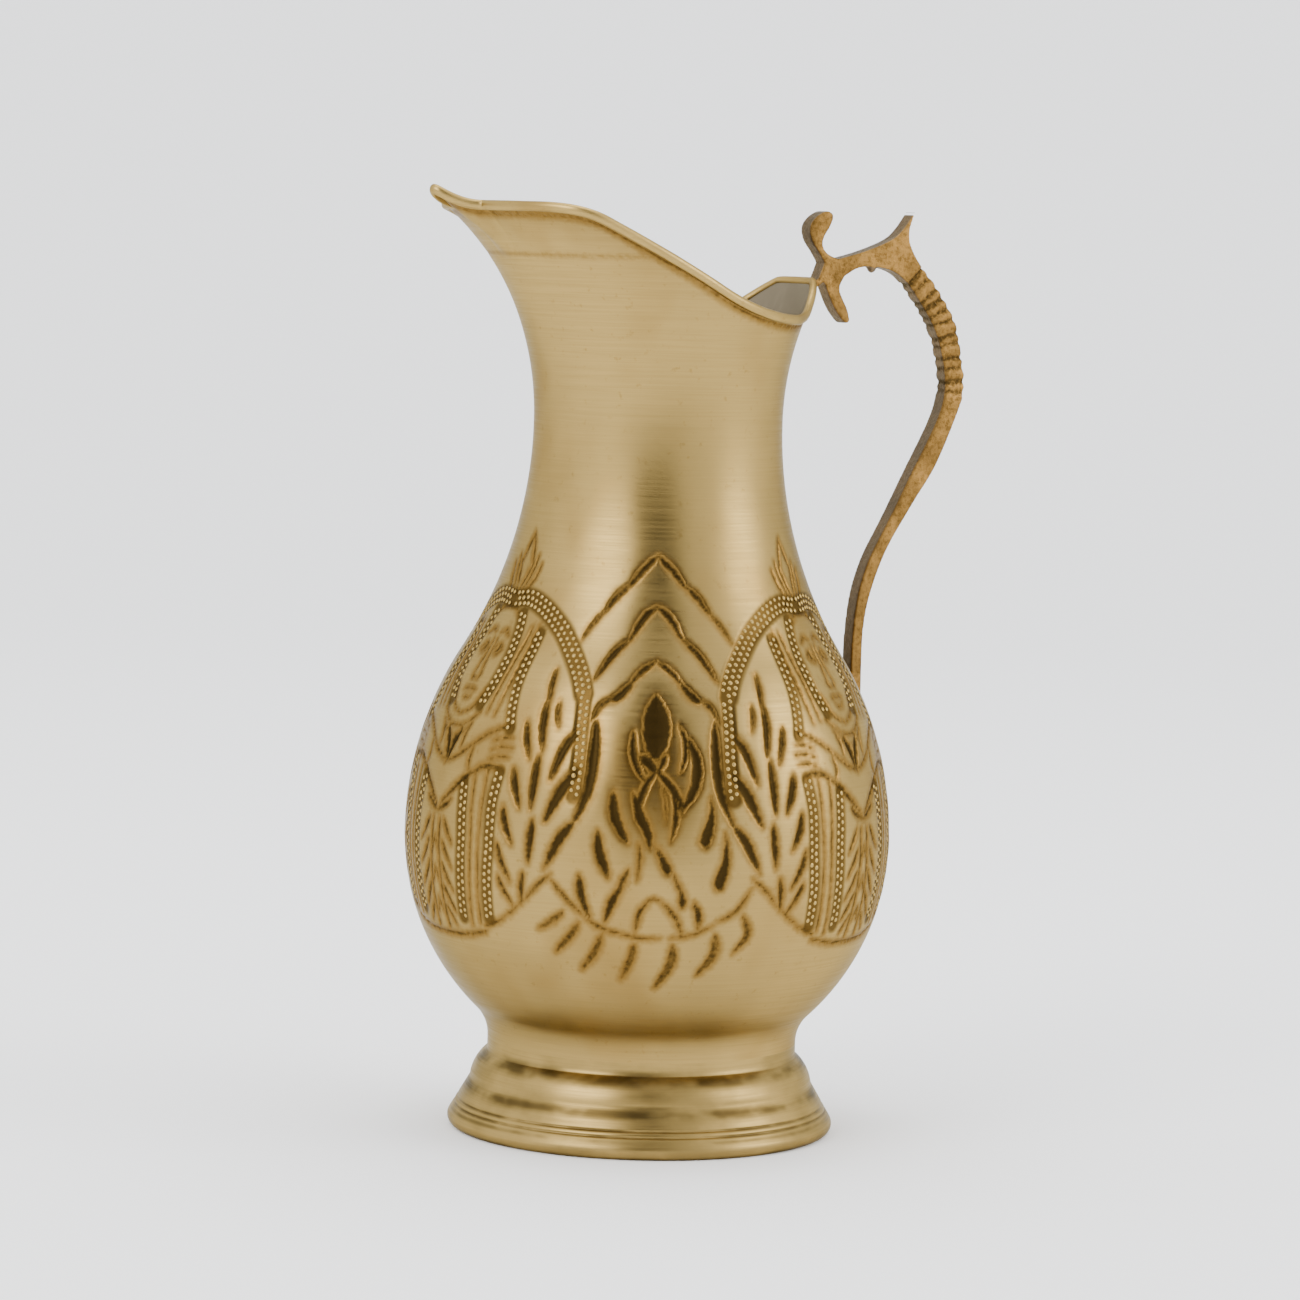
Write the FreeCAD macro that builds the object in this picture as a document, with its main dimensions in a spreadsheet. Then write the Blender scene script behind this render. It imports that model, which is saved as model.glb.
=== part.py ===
import FreeCAD, Part
import Sketcher
import math
import os

# Brass pouring jug with a pear-shaped body, a cut trumpet mouth, a spun foot and a cast handle.
# Frame: +Z up, origin at the centre of the face it stands on, handle on +X, spout on -X.

SIZES = {
    # body, outer surface
    "belly_radius": 70.6,
    "belly_height": 86.0,
    "waist_radius": 45.0,
    "waist_height": 26.0,
    "shoulder_arc": 100.6,
    "neck_radius": 36.0,
    "neck_height": 206.4,
    "throat_arc": 85.8,
    "throat_turn": 20.0,
    "flare_arc": 72.7,
    "flare_turn": 40.0,
    # sheet metal and its joints
    "wall": 0.8,
    "lap_height": 4.0,
    "braze_gap": 0.15,
    "bottom_height": 21.0,
    "bottom_corner": 3.0,
    # mouth, measured to the centre of the rim wire
    "lip_height": 267.3,
    "rim_low_height": 237.1,
    "tab_height": 247.7,
    "lip_bend_x": -49.0,
    "low_bend_x": 10.0,
    "tab_foot_x": 34.6,
    "tab_top_x": 45.4,
    "lip_bend_arc": 33.0,
    "low_bend_arc": 72.0,
    "tab_foot_arc": 17.0,
    "tab_top_arc": 1.5,
    "beak_reach": 11.6,
    "beak_rise": 4.1,
    "beak_half_angle": 7.0,
    "rim_wire_radius": 1.15,
    "wire_seat": 0.03,
    # foot
    "foot_bead_centre": 53.6,
    "foot_bead_height": 2.5,
    "foot_bead_radius": 2.6,
    "foot_wire_radius": 1.7,
    "hem_clearance": 0.05,
    "foot_step_radius": 49.9,
    "foot_step_height": 14.0,
    "foot_bulge_arc": 12.0,
    "collar_height": 22.4,
    # handle
    "handle_width": 5.6,
    "tail_low": 99.0,
    "tail_high": 113.0,
    "tail_tip": 1.4,
    "tongue_low": 238.4,
    "tongue_high": 245.2,
    "solder_margin": 0.5,
}

# Handle outline. Each point is a share of the height from the tail to the tongue,
# and the distance out from the straight line between them in millimetres.
GRIP_INSIDE = [(1.053, 16.5), (1.073, 22.6), (1.072, 30.8), (1.049, 37.3), (0.984, 43.2),
               (0.922, 46.9), (0.844, 47.9), (0.789, 46.6), (0.733, 42.7), (0.637, 33.5),
               (0.519, 22.2), (0.437, 14.1), (0.363, 8.9), (0.274, 5.2), (0.18, 2.7)]
GRIP_OUTSIDE = [(0.185, 6.5), (0.293, 9.5), (0.377, 14.1), (0.463, 21.2), (0.558, 31.7),
                (0.642, 41.3), (0.758, 51.1), (0.815, 54.5), (0.884, 54.7), (0.957, 53.8),
                (1.027, 49.2), (1.092, 42.8), (1.144, 40.8), (1.199, 44.0)]
ARM_TOP = [(1.199, 44.0), (1.156, 38.6), (1.133, 33.9), (1.108, 24.4), (1.09, 15.0)]
HORN_INSIDE = [(1.09, 15.0), (1.101, 11.6), (1.118, 10.2), (1.137, 11.0), (1.159, 13.4),
               (1.177, 14.8)]
HORN_TIP = [(1.177, 14.8), (1.187, 14.9), (1.193, 13.6)]
HORN_OUTSIDE = [(1.193, 13.6), (1.19, 11.4), (1.176, 8.3), (1.156, 6.4), (1.13, 6.5),
                (1.108, 8.2), (1.082, 10.1)]
TONGUE_ROOT_TOP = (1.047, 7.4)
TONGUE_ROOT_LOW = (1.028, 6.6)
HOOK_ROOT = (1.041, 9.2)
HOOK_OUTSIDE = [(1.041, 9.2), (1.0, 10.8), (0.974, 12.4), (0.955, 14.3)]
HOOK_TIP = [(0.955, 14.3), (0.951, 15.6), (0.96, 16.5)]
HOOK_INSIDE = [(0.96, 16.5), (0.984, 16.0), (1.003, 15.0), (1.027, 14.3), (1.053, 16.5)]

# Rim wire: wide steps of so many degrees from the handle, then fine steps along the beak.
RIM_STEPS = 68
RIM_STEP = 2.5
BEAK_STEPS = 14
BEAK_NUDGE = 1e-3
HALVINGS = 50
SAME_POINT = 1e-6

# The mouth cut's reach past the axis, its top, and the most of the sheet it may leave.
CUT_REACH = 140.0
CUT_TOP = 400.0
CUT_LEAVES = 0.98

# Where the handle's line of reference starts and ends, past the middles of tail and tongue.
TAIL_RISE = 1.0
TONGUE_RISE = 0.2
TONGUE_OUT = 1.5


def make_sheet(doc):
    """Spreadsheet with one named cell per driving size."""
    sheet = doc.addObject("Spreadsheet::Sheet", "sizes")
    for row, (name, value) in enumerate(SIZES.items(), start=1):
        sheet.set("A%d" % row, name)
        sheet.set("B%d" % row, str(value))
        sheet.setAlias("B%d" % row, name)
    doc.recompute()
    return sheet


class WallArc:
    """One round stretch of the outer wall. Bulging stretches have their centre on the axis side."""

    def __init__(self, centre, radius, start, end, bulging):
        self.centre = centre
        self.radius = radius
        self.start = start
        self.end = end
        self.bulging = bulging

    def bend(self, inset):
        return self.radius - inset if self.bulging else self.radius + inset

    def point(self, angle, inset=0.0):
        reach = self.bend(inset)
        return (self.centre[0] + reach * math.cos(angle), self.centre[1] + reach * math.sin(angle))

    def angle_at(self, height, inset=0.0):
        tilt = math.asin((height - self.centre[1]) / self.bend(inset))
        return tilt if self.bulging else math.pi - tilt


def wall_arcs(size):
    """Outer wall from the waist to beyond the lip, as six arcs that run into each other."""
    belly = (size.belly_radius, size.belly_height)
    across = size.waist_radius
    down = size.belly_height - size.waist_height
    fillet = (across ** 2 + down ** 2 - size.belly_radius ** 2) / (2 * (size.belly_radius - across))
    fillet_centre = (size.waist_radius + fillet, size.waist_height)
    meet = math.atan2(fillet_centre[1] - belly[1], fillet_centre[0])
    bowl = WallArc((0.0, belly[1]), size.belly_radius, meet, 0.0, True)
    waist = WallArc(fillet_centre, fillet, math.pi, math.pi + meet, False)

    rise = size.neck_height - size.belly_height
    turn = 2 * math.atan((size.belly_radius - size.neck_radius) / rise)
    shoulder_centre = (size.belly_radius - size.shoulder_arc, belly[1])
    shoulder = WallArc(shoulder_centre, size.shoulder_arc, 0.0, turn, True)
    neck_arc = rise / math.sin(turn) - size.shoulder_arc
    neck_centre = (size.neck_radius + neck_arc, size.neck_height)
    neck = WallArc(neck_centre, neck_arc, math.pi + turn, math.pi, False)

    throat_end = math.pi - math.radians(size.throat_turn)
    throat_centre = (size.neck_radius + size.throat_arc, size.neck_height)
    throat = WallArc(throat_centre, size.throat_arc, math.pi, throat_end, False)
    joint = throat.point(throat_end)
    flare_centre = (joint[0] - size.flare_arc * math.cos(throat_end),
                    joint[1] - size.flare_arc * math.sin(throat_end))
    flare_end = throat_end - math.radians(size.flare_turn)
    flare = WallArc(flare_centre, size.flare_arc, throat_end, flare_end, False)
    return {"waist": waist, "bowl": bowl, "shoulder": shoulder, "neck": neck,
            "throat": throat, "flare": flare}


def wall_radius(arcs, height, inset=0.0):
    """Radius of the mouth wall at a height above the neck."""
    for name in ("throat", "flare"):
        arc = arcs[name]
        if height <= arc.point(arc.end, inset)[1] or name == "flare":
            return arc.point(arc.angle_at(height, inset), inset)[0]


class Outline:
    """Closed run of straight, round and free stretches, walked from point to point."""

    def __init__(self, start):
        self.first = start
        self.here = start
        self.stretches = []

    def line(self, end):
        geometry = Part.LineSegment(flat(self.here), flat(end))
        self.stretches.append((geometry, 1, 2))
        self.here = end

    def arc(self, centre, end):
        begin_angle = math.atan2(self.here[1] - centre[1], self.here[0] - centre[0])
        end_angle = math.atan2(end[1] - centre[1], end[0] - centre[0])
        turn = (end_angle - begin_angle + math.pi) % (2 * math.pi) - math.pi
        self.turned(centre, begin_angle, turn, end)

    def turned(self, centre, begin_angle, turn, end):
        radius = math.hypot(self.here[0] - centre[0], self.here[1] - centre[1])
        circle = Part.Circle(flat(centre), FreeCAD.Vector(0, 0, 1), radius)
        if turn > 0:
            geometry = Part.ArcOfCircle(circle, begin_angle, begin_angle + turn)
            self.stretches.append((geometry, 1, 2))
        else:
            geometry = Part.ArcOfCircle(circle, begin_angle + turn, begin_angle)
            self.stretches.append((geometry, 2, 1))
        self.here = end

    def curve(self, points):
        geometry = Part.BSplineCurve()
        geometry.interpolate([flat(point) for point in points])
        self.stretches.append((geometry, 1, 2))
        self.here = points[-1]

    def close(self):
        self.line(self.first)

    def wall(self, arcs, names, inset, start_height=None, end_height=None):
        """Follow named wall arcs upwards at an inset, between two heights."""
        for name in names:
            arc = arcs[name]
            begin = arc.start
            finish = arc.end
            if start_height is not None and name == names[0]:
                begin = arc.angle_at(start_height, inset)
            if end_height is not None and name == names[-1]:
                finish = arc.angle_at(end_height, inset)
            start = arc.point(begin, inset)
            if math.dist(start, self.here) > SAME_POINT:
                self.line(start)
            self.arc(arc.centre, arc.point(finish, inset))

    def wall_down(self, arcs, names, inset, start_height=None, end_height=None):
        """Follow named wall arcs downwards at an inset; names are given from the top."""
        for name in names:
            arc = arcs[name]
            begin = arc.end
            finish = arc.start
            if start_height is not None and name == names[0]:
                begin = arc.angle_at(start_height, inset)
            if end_height is not None and name == names[-1]:
                finish = arc.angle_at(end_height, inset)
            start = arc.point(begin, inset)
            if math.dist(start, self.here) > SAME_POINT:
                self.line(start)
            self.arc(arc.centre, arc.point(finish, inset))


def flat(point):
    return FreeCAD.Vector(point[0], point[1], 0)


def rounded_run(corners, radii):
    """Straight runs through the corners, each inner corner rounded by its radius.

    Gives (start, end, centre) for each stretch, where a straight one has no centre."""
    run = []
    here = corners[0]
    for before, corner, after, radius in zip(corners, corners[1:], corners[2:], radii):
        arrive = math.atan2(corner[1] - before[1], corner[0] - before[0])
        leave = math.atan2(after[1] - corner[1], after[0] - corner[0])
        turn = leave - arrive
        reach = radius * math.tan(abs(turn) / 2)
        begin = (corner[0] - reach * math.cos(arrive), corner[1] - reach * math.sin(arrive))
        end = (corner[0] + reach * math.cos(leave), corner[1] + reach * math.sin(leave))
        side = math.copysign(math.pi / 2, turn)
        centre = (begin[0] + radius * math.cos(arrive + side), begin[1] + radius * math.sin(arrive + side))
        run.append((here, begin, None))
        run.append((begin, end, centre))
        here = end
    run.append((here, corners[-1], None))
    return run


def rim_run(size, drop=0.0):
    """Side view of the rim, from beyond the spout to beyond the handle tab, or a line under it."""
    corners = [(-CUT_REACH, size.lip_height),
               (size.lip_bend_x, size.lip_height),
               (size.low_bend_x, size.rim_low_height),
               (size.tab_foot_x, size.rim_low_height),
               (size.tab_top_x, size.tab_height),
               (CUT_REACH, size.tab_height)]
    lowered = [(corners[0][0], corners[0][1] - drop)]
    for before, corner, after in zip(corners, corners[1:], corners[2:]):
        arrive = math.atan2(corner[1] - before[1], corner[0] - before[0])
        leave = math.atan2(after[1] - corner[1], after[0] - corner[0])
        middle = (arrive + leave) / 2
        reach = drop / math.cos((leave - arrive) / 2)
        lowered.append((corner[0] + reach * math.sin(middle), corner[1] - reach * math.cos(middle)))
    lowered.append((corners[-1][0], corners[-1][1] - drop))
    radii = [size.lip_bend_arc - drop, size.low_bend_arc + drop,
             size.tab_foot_arc + drop, size.tab_top_arc - drop]
    return rounded_run(lowered, radii)


def rim_height(run, x):
    """Height of the rim's side view at a distance from the axis."""
    for start, end, centre in run:
        if x <= end[0]:
            if centre is None:
                share = (x - start[0]) / (end[0] - start[0])
                return start[1] + share * (end[1] - start[1])
            radius = math.dist(start, centre)
            rise = math.sqrt(radius ** 2 - (x - centre[0]) ** 2)
            return centre[1] + math.copysign(rise, start[1] - centre[1])
    return run[-1][1][1]


def rim_point(size, arcs, run, angle, beak=True):
    """Point of the rim wire's centre line at an angle from the handle."""
    low = size.neck_height
    high = size.lip_height + size.beak_rise
    half_wall = size.wall / 2
    for _ in range(HALVINGS):
        height = (low + high) / 2
        if height < rim_height(run, wall_radius(arcs, height, half_wall) * math.cos(angle)):
            low = height
        else:
            high = height
    radius = wall_radius(arcs, height, half_wall)
    from_spout = math.degrees(abs(math.pi - angle))
    if beak and from_spout < size.beak_half_angle:
        swell = math.cos(math.pi / 2 * from_spout / size.beak_half_angle) ** 2
        radius += size.beak_reach * swell
        height += size.beak_rise * swell ** 2
    return FreeCAD.Vector(radius * math.cos(angle), radius * math.sin(angle), height)


def origin_plane(body, role):
    for feature in body.Origin.OriginFeatures:
        if feature.Role == role:
            return feature
    raise RuntimeError("no plane " + role)


def add_sketch(body, name, outline, bindings=()):
    """Sketch on the body's XZ plane. Each binding ties one corner's distance to a sheet cell."""
    sketch = body.newObject("Sketcher::SketchObject", name)
    sketch.AttachmentSupport = [(origin_plane(body, "XZ_Plane"), "")]
    sketch.MapMode = "FlatFace"
    first = []
    for geometry, start, end in outline.stretches:
        first.append((sketch.addGeometry(geometry, False), start, end))
    for (one, _, end), (two, start, _) in zip(first, first[1:] + first[:1]):
        sketch.addConstraint(Sketcher.Constraint("Coincident", one, end, two, start))
    for label, direction, index, expression in bindings:
        geometry, start, _ = first[index]
        corner = sketch.getPoint(geometry, start)
        value = corner.x if direction == "DistanceX" else corner.y
        made = sketch.addConstraint(Sketcher.Constraint(direction, -1, 1, geometry, start, value))
        sketch.renameConstraint(made, label)
        sketch.setExpression("Constraints." + label, expression)
    return sketch


def new_body(doc, name):
    body = doc.addObject("PartDesign::Body", name)
    body.Label = name
    return body


def spin(body, sketch, name, angle=360.0):
    """Full turn of a sketch about the upright axis."""
    feature = body.newObject("PartDesign::Revolution", name)
    feature.Profile = sketch
    feature.ReferenceAxis = (sketch, ["V_Axis"])
    feature.Angle = angle
    body.Tip = feature
    return feature


def make_lower_bowl(doc, size, arcs):
    """Spun bowl with its own bottom, whose spigot stands in the foot's collar."""
    body = new_body(doc, "lower_bowl")
    spigot = size.wall + size.braze_gap
    corner = size.bottom_corner
    outer = size.waist_radius - spigot
    inner = outer - size.wall
    bottom = size.bottom_height
    outline = Outline((0.0, bottom))
    outline.line((outer - corner, bottom))
    outline.arc((outer - corner, bottom + corner), (outer, bottom + corner))
    outline.line((outer, size.waist_height))
    outline.line((size.waist_radius, size.waist_height))
    outline.wall(arcs, ["waist", "bowl"], 0.0)
    outline.line(arcs["bowl"].point(0.0, size.wall))
    outline.wall_down(arcs, ["bowl", "waist"], size.wall, None, size.waist_height + size.lap_height)
    outline.line((inner, size.waist_height - size.wall))
    outline.line((inner, bottom + corner))
    outline.arc((outer - corner, bottom + corner), (outer - corner, bottom + size.wall))
    outline.line((0.0, bottom + size.wall))
    outline.close()
    bindings = [("bottom_height", "DistanceY", 0, "sizes.bottom_height"),
                ("waist_radius", "DistanceX", 4, "sizes.waist_radius"),
                ("belly_radius", "DistanceX", 6, "sizes.belly_radius"),
                ("belly_height", "DistanceY", 6, "sizes.belly_height")]
    sketch = add_sketch(body, "lower_bowl_profile", outline, bindings)
    spin(body, sketch, "lower_bowl_spun")
    return body


def make_upper_bowl(doc, size, arcs):
    """Shoulder and lower neck, joggled at its foot to lap inside the lower bowl."""
    body = new_body(doc, "upper_bowl")
    lap = size.wall + size.braze_gap
    bowl = arcs["bowl"]
    lap_low = size.belly_height - size.lap_height
    outline = Outline((size.belly_radius, size.belly_height))
    outline.wall(arcs, ["shoulder", "neck"], 0.0)
    outline.line((size.neck_radius - size.wall, size.neck_height))
    outline.wall_down(arcs, ["neck", "shoulder"], size.wall, None, size.belly_height + size.lap_height)
    outline.line(bowl.point(0.0, lap + size.wall))
    outline.arc(bowl.centre, bowl.point(bowl.angle_at(lap_low, lap + size.wall), lap + size.wall))
    outline.line(bowl.point(bowl.angle_at(lap_low, lap), lap))
    outline.arc(bowl.centre, bowl.point(0.0, lap))
    outline.close()
    bindings = [("belly_radius", "DistanceX", 0, "sizes.belly_radius"),
                ("neck_radius", "DistanceX", 2, "sizes.neck_radius"),
                ("neck_height", "DistanceY", 2, "sizes.neck_height")]
    sketch = add_sketch(body, "upper_bowl_profile", outline, bindings)
    spin(body, sketch, "upper_bowl_spun")
    return body


def make_belly_braze(doc, size, arcs):
    """Film of brazing spelter in the belly lap."""
    body = new_body(doc, "belly_braze")
    bowl = arcs["bowl"]
    deep = size.wall + size.braze_gap
    low = size.belly_height - size.lap_height
    outline = Outline(bowl.point(0.0, size.wall))
    outline.line(bowl.point(0.0, deep))
    outline.arc(bowl.centre, bowl.point(bowl.angle_at(low, deep), deep))
    outline.line(bowl.point(bowl.angle_at(low, size.wall), size.wall))
    outline.arc(bowl.centre, outline.first)
    bindings = [("belly_height", "DistanceY", 0, "sizes.belly_height")]
    sketch = add_sketch(body, "belly_braze_profile", outline, bindings)
    spin(body, sketch, "belly_braze_ring")
    return body


def make_neck_braze(doc, size, arcs):
    """Film of brazing spelter in the neck lap."""
    body = new_body(doc, "neck_braze")
    neck = arcs["neck"]
    deep = size.wall + size.braze_gap
    low = size.neck_height - size.lap_height
    outline = Outline(neck.point(math.pi, size.wall))
    outline.line(neck.point(math.pi, deep))
    outline.arc(neck.centre, neck.point(neck.angle_at(low, deep), deep))
    outline.line(neck.point(neck.angle_at(low, size.wall), size.wall))
    outline.arc(neck.centre, outline.first)
    bindings = [("neck_height", "DistanceY", 0, "sizes.neck_height")]
    sketch = add_sketch(body, "neck_braze_profile", outline, bindings)
    spin(body, sketch, "neck_braze_ring")
    return body


def make_foot_braze(doc, size):
    """Film of solder between the bowl's spigot and the foot's collar."""
    body = new_body(doc, "foot_braze")
    outer = size.waist_radius - size.wall
    inner = outer - size.braze_gap
    outline = Outline((inner, size.collar_height))
    outline.line((outer, size.collar_height))
    outline.line((outer, size.waist_height))
    outline.line((inner, size.waist_height))
    outline.close()
    bindings = [("collar_height", "DistanceY", 0, "sizes.collar_height"),
                ("waist_height", "DistanceY", 2, "sizes.waist_height")]
    sketch = add_sketch(body, "foot_braze_profile", outline, bindings)
    spin(body, sketch, "foot_braze_ring")
    return body


def bulge_centre(low, high, radius):
    """Centre, on the axis side, of the arc of a radius through two points."""
    middle = ((low[0] + high[0]) / 2, (low[1] + high[1]) / 2)
    chord = math.dist(low, high)
    back = math.sqrt(radius ** 2 - (chord / 2) ** 2)
    across = ((high[0] - low[0]) / chord, (high[1] - low[1]) / chord)
    return (middle[0] - back * across[1], middle[1] + back * across[0])


def make_foot_ring(doc, size):
    """Spun foot with a collar, a bulge, a flare and a hem rolled round the foot wire."""
    body = new_body(doc, "foot_ring")
    wall = size.wall
    bead = (size.foot_bead_centre, size.foot_bead_height)
    radius = size.foot_bead_radius
    collar = (size.waist_radius, size.collar_height)
    step = (size.foot_step_radius, size.foot_step_height)
    centre = bulge_centre(step, collar, size.foot_bulge_arc)

    lean = math.atan2(step[1] - bead[1], step[0] - bead[0])
    reach = math.dist(step, bead)
    outer_touch = lean - math.acos(radius / reach)
    flare_end = (bead[0] + radius * math.cos(outer_touch), bead[1] + radius * math.sin(outer_touch))
    run = math.atan2(step[1] - flare_end[1], step[0] - flare_end[0])
    inward = (-wall * math.sin(run), wall * math.cos(run))
    inner_step = (step[0] + inward[0], step[1] + inward[1])
    inner_low = (flare_end[0] + inward[0], flare_end[1] + inward[1])
    inner_bend = size.foot_bulge_arc - wall
    step_angle = math.asin((inner_step[1] - centre[1]) / inner_bend)
    inner_start = (centre[0] + inner_bend * math.cos(step_angle), inner_step[1])
    collar_in = size.waist_radius - wall
    collar_angle = math.acos((collar_in - centre[0]) / inner_bend)
    collar_bend = (collar_in, centre[1] + inner_bend * math.sin(collar_angle))
    inner_drop = math.sqrt(radius ** 2 - (radius - wall) ** 2)
    inner_touch = (inner_low[0] + inner_drop * math.cos(run), inner_low[1] + inner_drop * math.sin(run))
    base_half = math.sqrt(radius ** 2 - bead[1] ** 2)

    outline = Outline((bead[0] - base_half, 0.0))
    outline.line((bead[0] + base_half, 0.0))
    start = math.atan2(-bead[1], base_half)
    outline.turned(bead, start, outer_touch - start, flare_end)
    outline.line(step)
    outline.arc(centre, collar)
    outline.line((size.waist_radius, size.waist_height))
    outline.line((collar_in, size.waist_height))
    outline.line(collar_bend)
    outline.arc(centre, inner_start)
    if math.dist(inner_start, inner_step) > SAME_POINT:
        outline.line(inner_step)
    outline.line(inner_touch)
    begin = math.atan2(inner_touch[1] - bead[1], inner_touch[0] - bead[0])
    finish = math.atan2(-bead[1], -base_half)
    turn = (finish - begin) % (2 * math.pi)
    outline.turned(bead, begin, turn, outline.first)
    bindings = [("waist_radius", "DistanceX", 5, "sizes.waist_radius"),
                ("waist_height", "DistanceY", 5, "sizes.waist_height"),
                ("step_radius", "DistanceX", 3, "sizes.foot_step_radius")]
    sketch = add_sketch(body, "foot_ring_profile", outline, bindings)
    spin(body, sketch, "foot_ring_spun")

    hole = add_round(body, "foot_hem_bore", bead, size.foot_wire_radius + size.hem_clearance,
                     "sizes.foot_wire_radius + sizes.hem_clearance",
                     "sizes.foot_bead_centre", "sizes.foot_bead_height")
    groove = body.newObject("PartDesign::Groove", "foot_hem_hollow")
    groove.Profile = hole
    groove.ReferenceAxis = (hole, ["V_Axis"])
    groove.Angle = 360.0
    body.Tip = groove
    return body


def add_round(body, name, centre, radius, radius_expression, x_expression, y_expression):
    """Circle on the body's XZ plane, with its radius and place tied to the sheet."""
    sketch = body.newObject("Sketcher::SketchObject", name)
    sketch.AttachmentSupport = [(origin_plane(body, "XZ_Plane"), "")]
    sketch.MapMode = "FlatFace"
    circle = Part.Circle(flat(centre), FreeCAD.Vector(0, 0, 1), radius)
    index = sketch.addGeometry(circle, False)
    sized = sketch.addConstraint(Sketcher.Constraint("Radius", index, radius))
    across = sketch.addConstraint(Sketcher.Constraint("DistanceX", -1, 1, index, 3, centre[0]))
    up = sketch.addConstraint(Sketcher.Constraint("DistanceY", -1, 1, index, 3, centre[1]))
    for made, label, expression in ((sized, "radius", radius_expression),
                                    (across, "centre_x", x_expression),
                                    (up, "centre_y", y_expression)):
        sketch.renameConstraint(made, label)
        sketch.setExpression("Constraints." + label, expression)
    return sketch


def make_foot_edge_wire(doc, size):
    """Round wire inside the foot's hem."""
    wire = doc.addObject("Part::Torus", "foot_edge_wire")
    wire.Label = "foot_edge_wire"
    wire.setExpression("Radius1", "sizes.foot_bead_centre")
    wire.setExpression("Radius2", "sizes.foot_wire_radius")
    wire.setExpression("Placement.Base.z", "sizes.foot_bead_height")
    return wire


def make_funnel_sheet(doc, size, arcs):
    """Neck and mouth sheet: spun to a trumpet, then cut along the rim's side view."""
    body = new_body(doc, "funnel_sheet")
    lap = size.wall + size.braze_gap
    neck = arcs["neck"]
    low = size.neck_height - size.lap_height
    outline = Outline((size.neck_radius, size.neck_height))
    outline.wall(arcs, ["throat", "flare"], 0.0)
    flare = arcs["flare"]
    outline.line(flare.point(flare.end, size.wall))
    outline.wall_down(arcs, ["flare", "throat"], size.wall, None, size.neck_height + size.lap_height)
    outline.line(neck.point(math.pi, lap + size.wall))
    outline.arc(neck.centre, neck.point(neck.angle_at(low, lap + size.wall), lap + size.wall))
    outline.line(neck.point(neck.angle_at(low, lap), lap))
    outline.arc(neck.centre, neck.point(math.pi, lap))
    outline.close()
    bindings = [("neck_radius", "DistanceX", 0, "sizes.neck_radius"),
                ("neck_height", "DistanceY", 0, "sizes.neck_height")]
    sketch = add_sketch(body, "funnel_profile", outline, bindings)
    spun = spin(body, sketch, "funnel_spun")
    doc.recompute()
    before = spun.Shape.Volume

    cut_run = rim_run(size, size.rim_wire_radius + size.wire_seat)
    above = Outline(cut_run[0][0])
    for start, end, centre in cut_run:
        if centre is None:
            above.line(end)
        else:
            above.arc(centre, end)
    above.line((CUT_REACH, CUT_TOP))
    above.line((-CUT_REACH, CUT_TOP))
    above.close()
    bindings = [("lip_height", "DistanceY", 0, "sizes.lip_height - sizes.rim_wire_radius - sizes.wire_seat"),
                ("tab_height", "DistanceY", 8, "sizes.tab_height - sizes.rim_wire_radius - sizes.wire_seat")]
    cutter = add_sketch(body, "rim_side_view", above, bindings)
    pocket = body.newObject("PartDesign::Pocket", "rim_cut")
    pocket.Profile = cutter
    pocket.Type = 0
    pocket.SideType = "Symmetric"
    pocket.Length = 2 * CUT_REACH
    body.Tip = pocket
    doc.recompute()
    if pocket.Shape.Volume > CUT_LEAVES * before:
        raise RuntimeError("the rim cut took nothing away")
    return body


def rim_angles():
    """Angles from the handle to the spout, closer together along the beak."""
    wide = [math.radians(RIM_STEP * step) for step in range(RIM_STEPS)]
    begin = RIM_STEP * RIM_STEPS
    fine = [math.radians(begin + (180.0 - begin) * step / BEAK_STEPS) for step in range(BEAK_STEPS)]
    return wide + fine + [math.pi]


def rim_loop(size, arcs, run):
    """Points of the rim wire's centre line, once round from the handle."""
    half = [rim_point(size, arcs, run, angle) for angle in rim_angles()]
    back = [FreeCAD.Vector(point.x, -point.y, point.z) for point in reversed(half[1:-1])]
    return half + back


def rim_tube(size, arcs, run):
    """Round bar along the whole rim, through a circle square to the line at each of its points."""
    points = rim_loop(size, arcs, run)
    circles = []
    for before, here, after in zip(points[-1:] + points[:-1], points, points[1:] + points[:1]):
        circle = Part.Circle()
        circle.Center = here
        circle.Axis = (after - before).normalize()
        circle.XAxis = FreeCAD.Vector(0, 0, 1).cross(circle.Axis)
        circle.Radius = size.rim_wire_radius
        circles.append(Part.Wire(circle.toShape()))
    return Part.makeLoft(circles + circles[:1], True, True, False)


def make_beak(size, arcs, run, low_run):
    """Thin tongue of sheet from inside the mouth's edge out to the rim wire."""
    inner = []
    outer = []
    clear = size.rim_wire_radius + size.wire_seat
    half_angle = math.radians(size.beak_half_angle)
    for step in range(-BEAK_STEPS, BEAK_STEPS + 1):
        turn = half_angle * abs(step) / BEAK_STEPS
        side = -1 if step > 0 else 1
        near = rim_point(size, arcs, low_run, math.pi - turn, beak=False)
        here = rim_point(size, arcs, run, math.pi - turn)
        ahead = rim_point(size, arcs, run, math.pi - turn - BEAK_NUDGE)
        along = math.atan2(ahead.y - here.y, ahead.x - here.x)
        inner.append(FreeCAD.Vector(near.x, side * near.y, near.z))
        outer.append(FreeCAD.Vector(here.x + clear * math.sin(along),
                                    side * (here.y - clear * math.cos(along)), here.z))
    outer[BEAK_STEPS].y = 0.0
    edges = []
    for points in (inner, outer):
        curve = Part.BSplineCurve()
        curve.interpolate(points)
        edges.append(curve.toShape())
    leaf = Part.makeRuledSurface(edges[0], edges[1])
    leaf.translate(FreeCAD.Vector(0, 0, -size.wall / 2))
    return leaf.extrude(FreeCAD.Vector(0, 0, size.wall))


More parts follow.
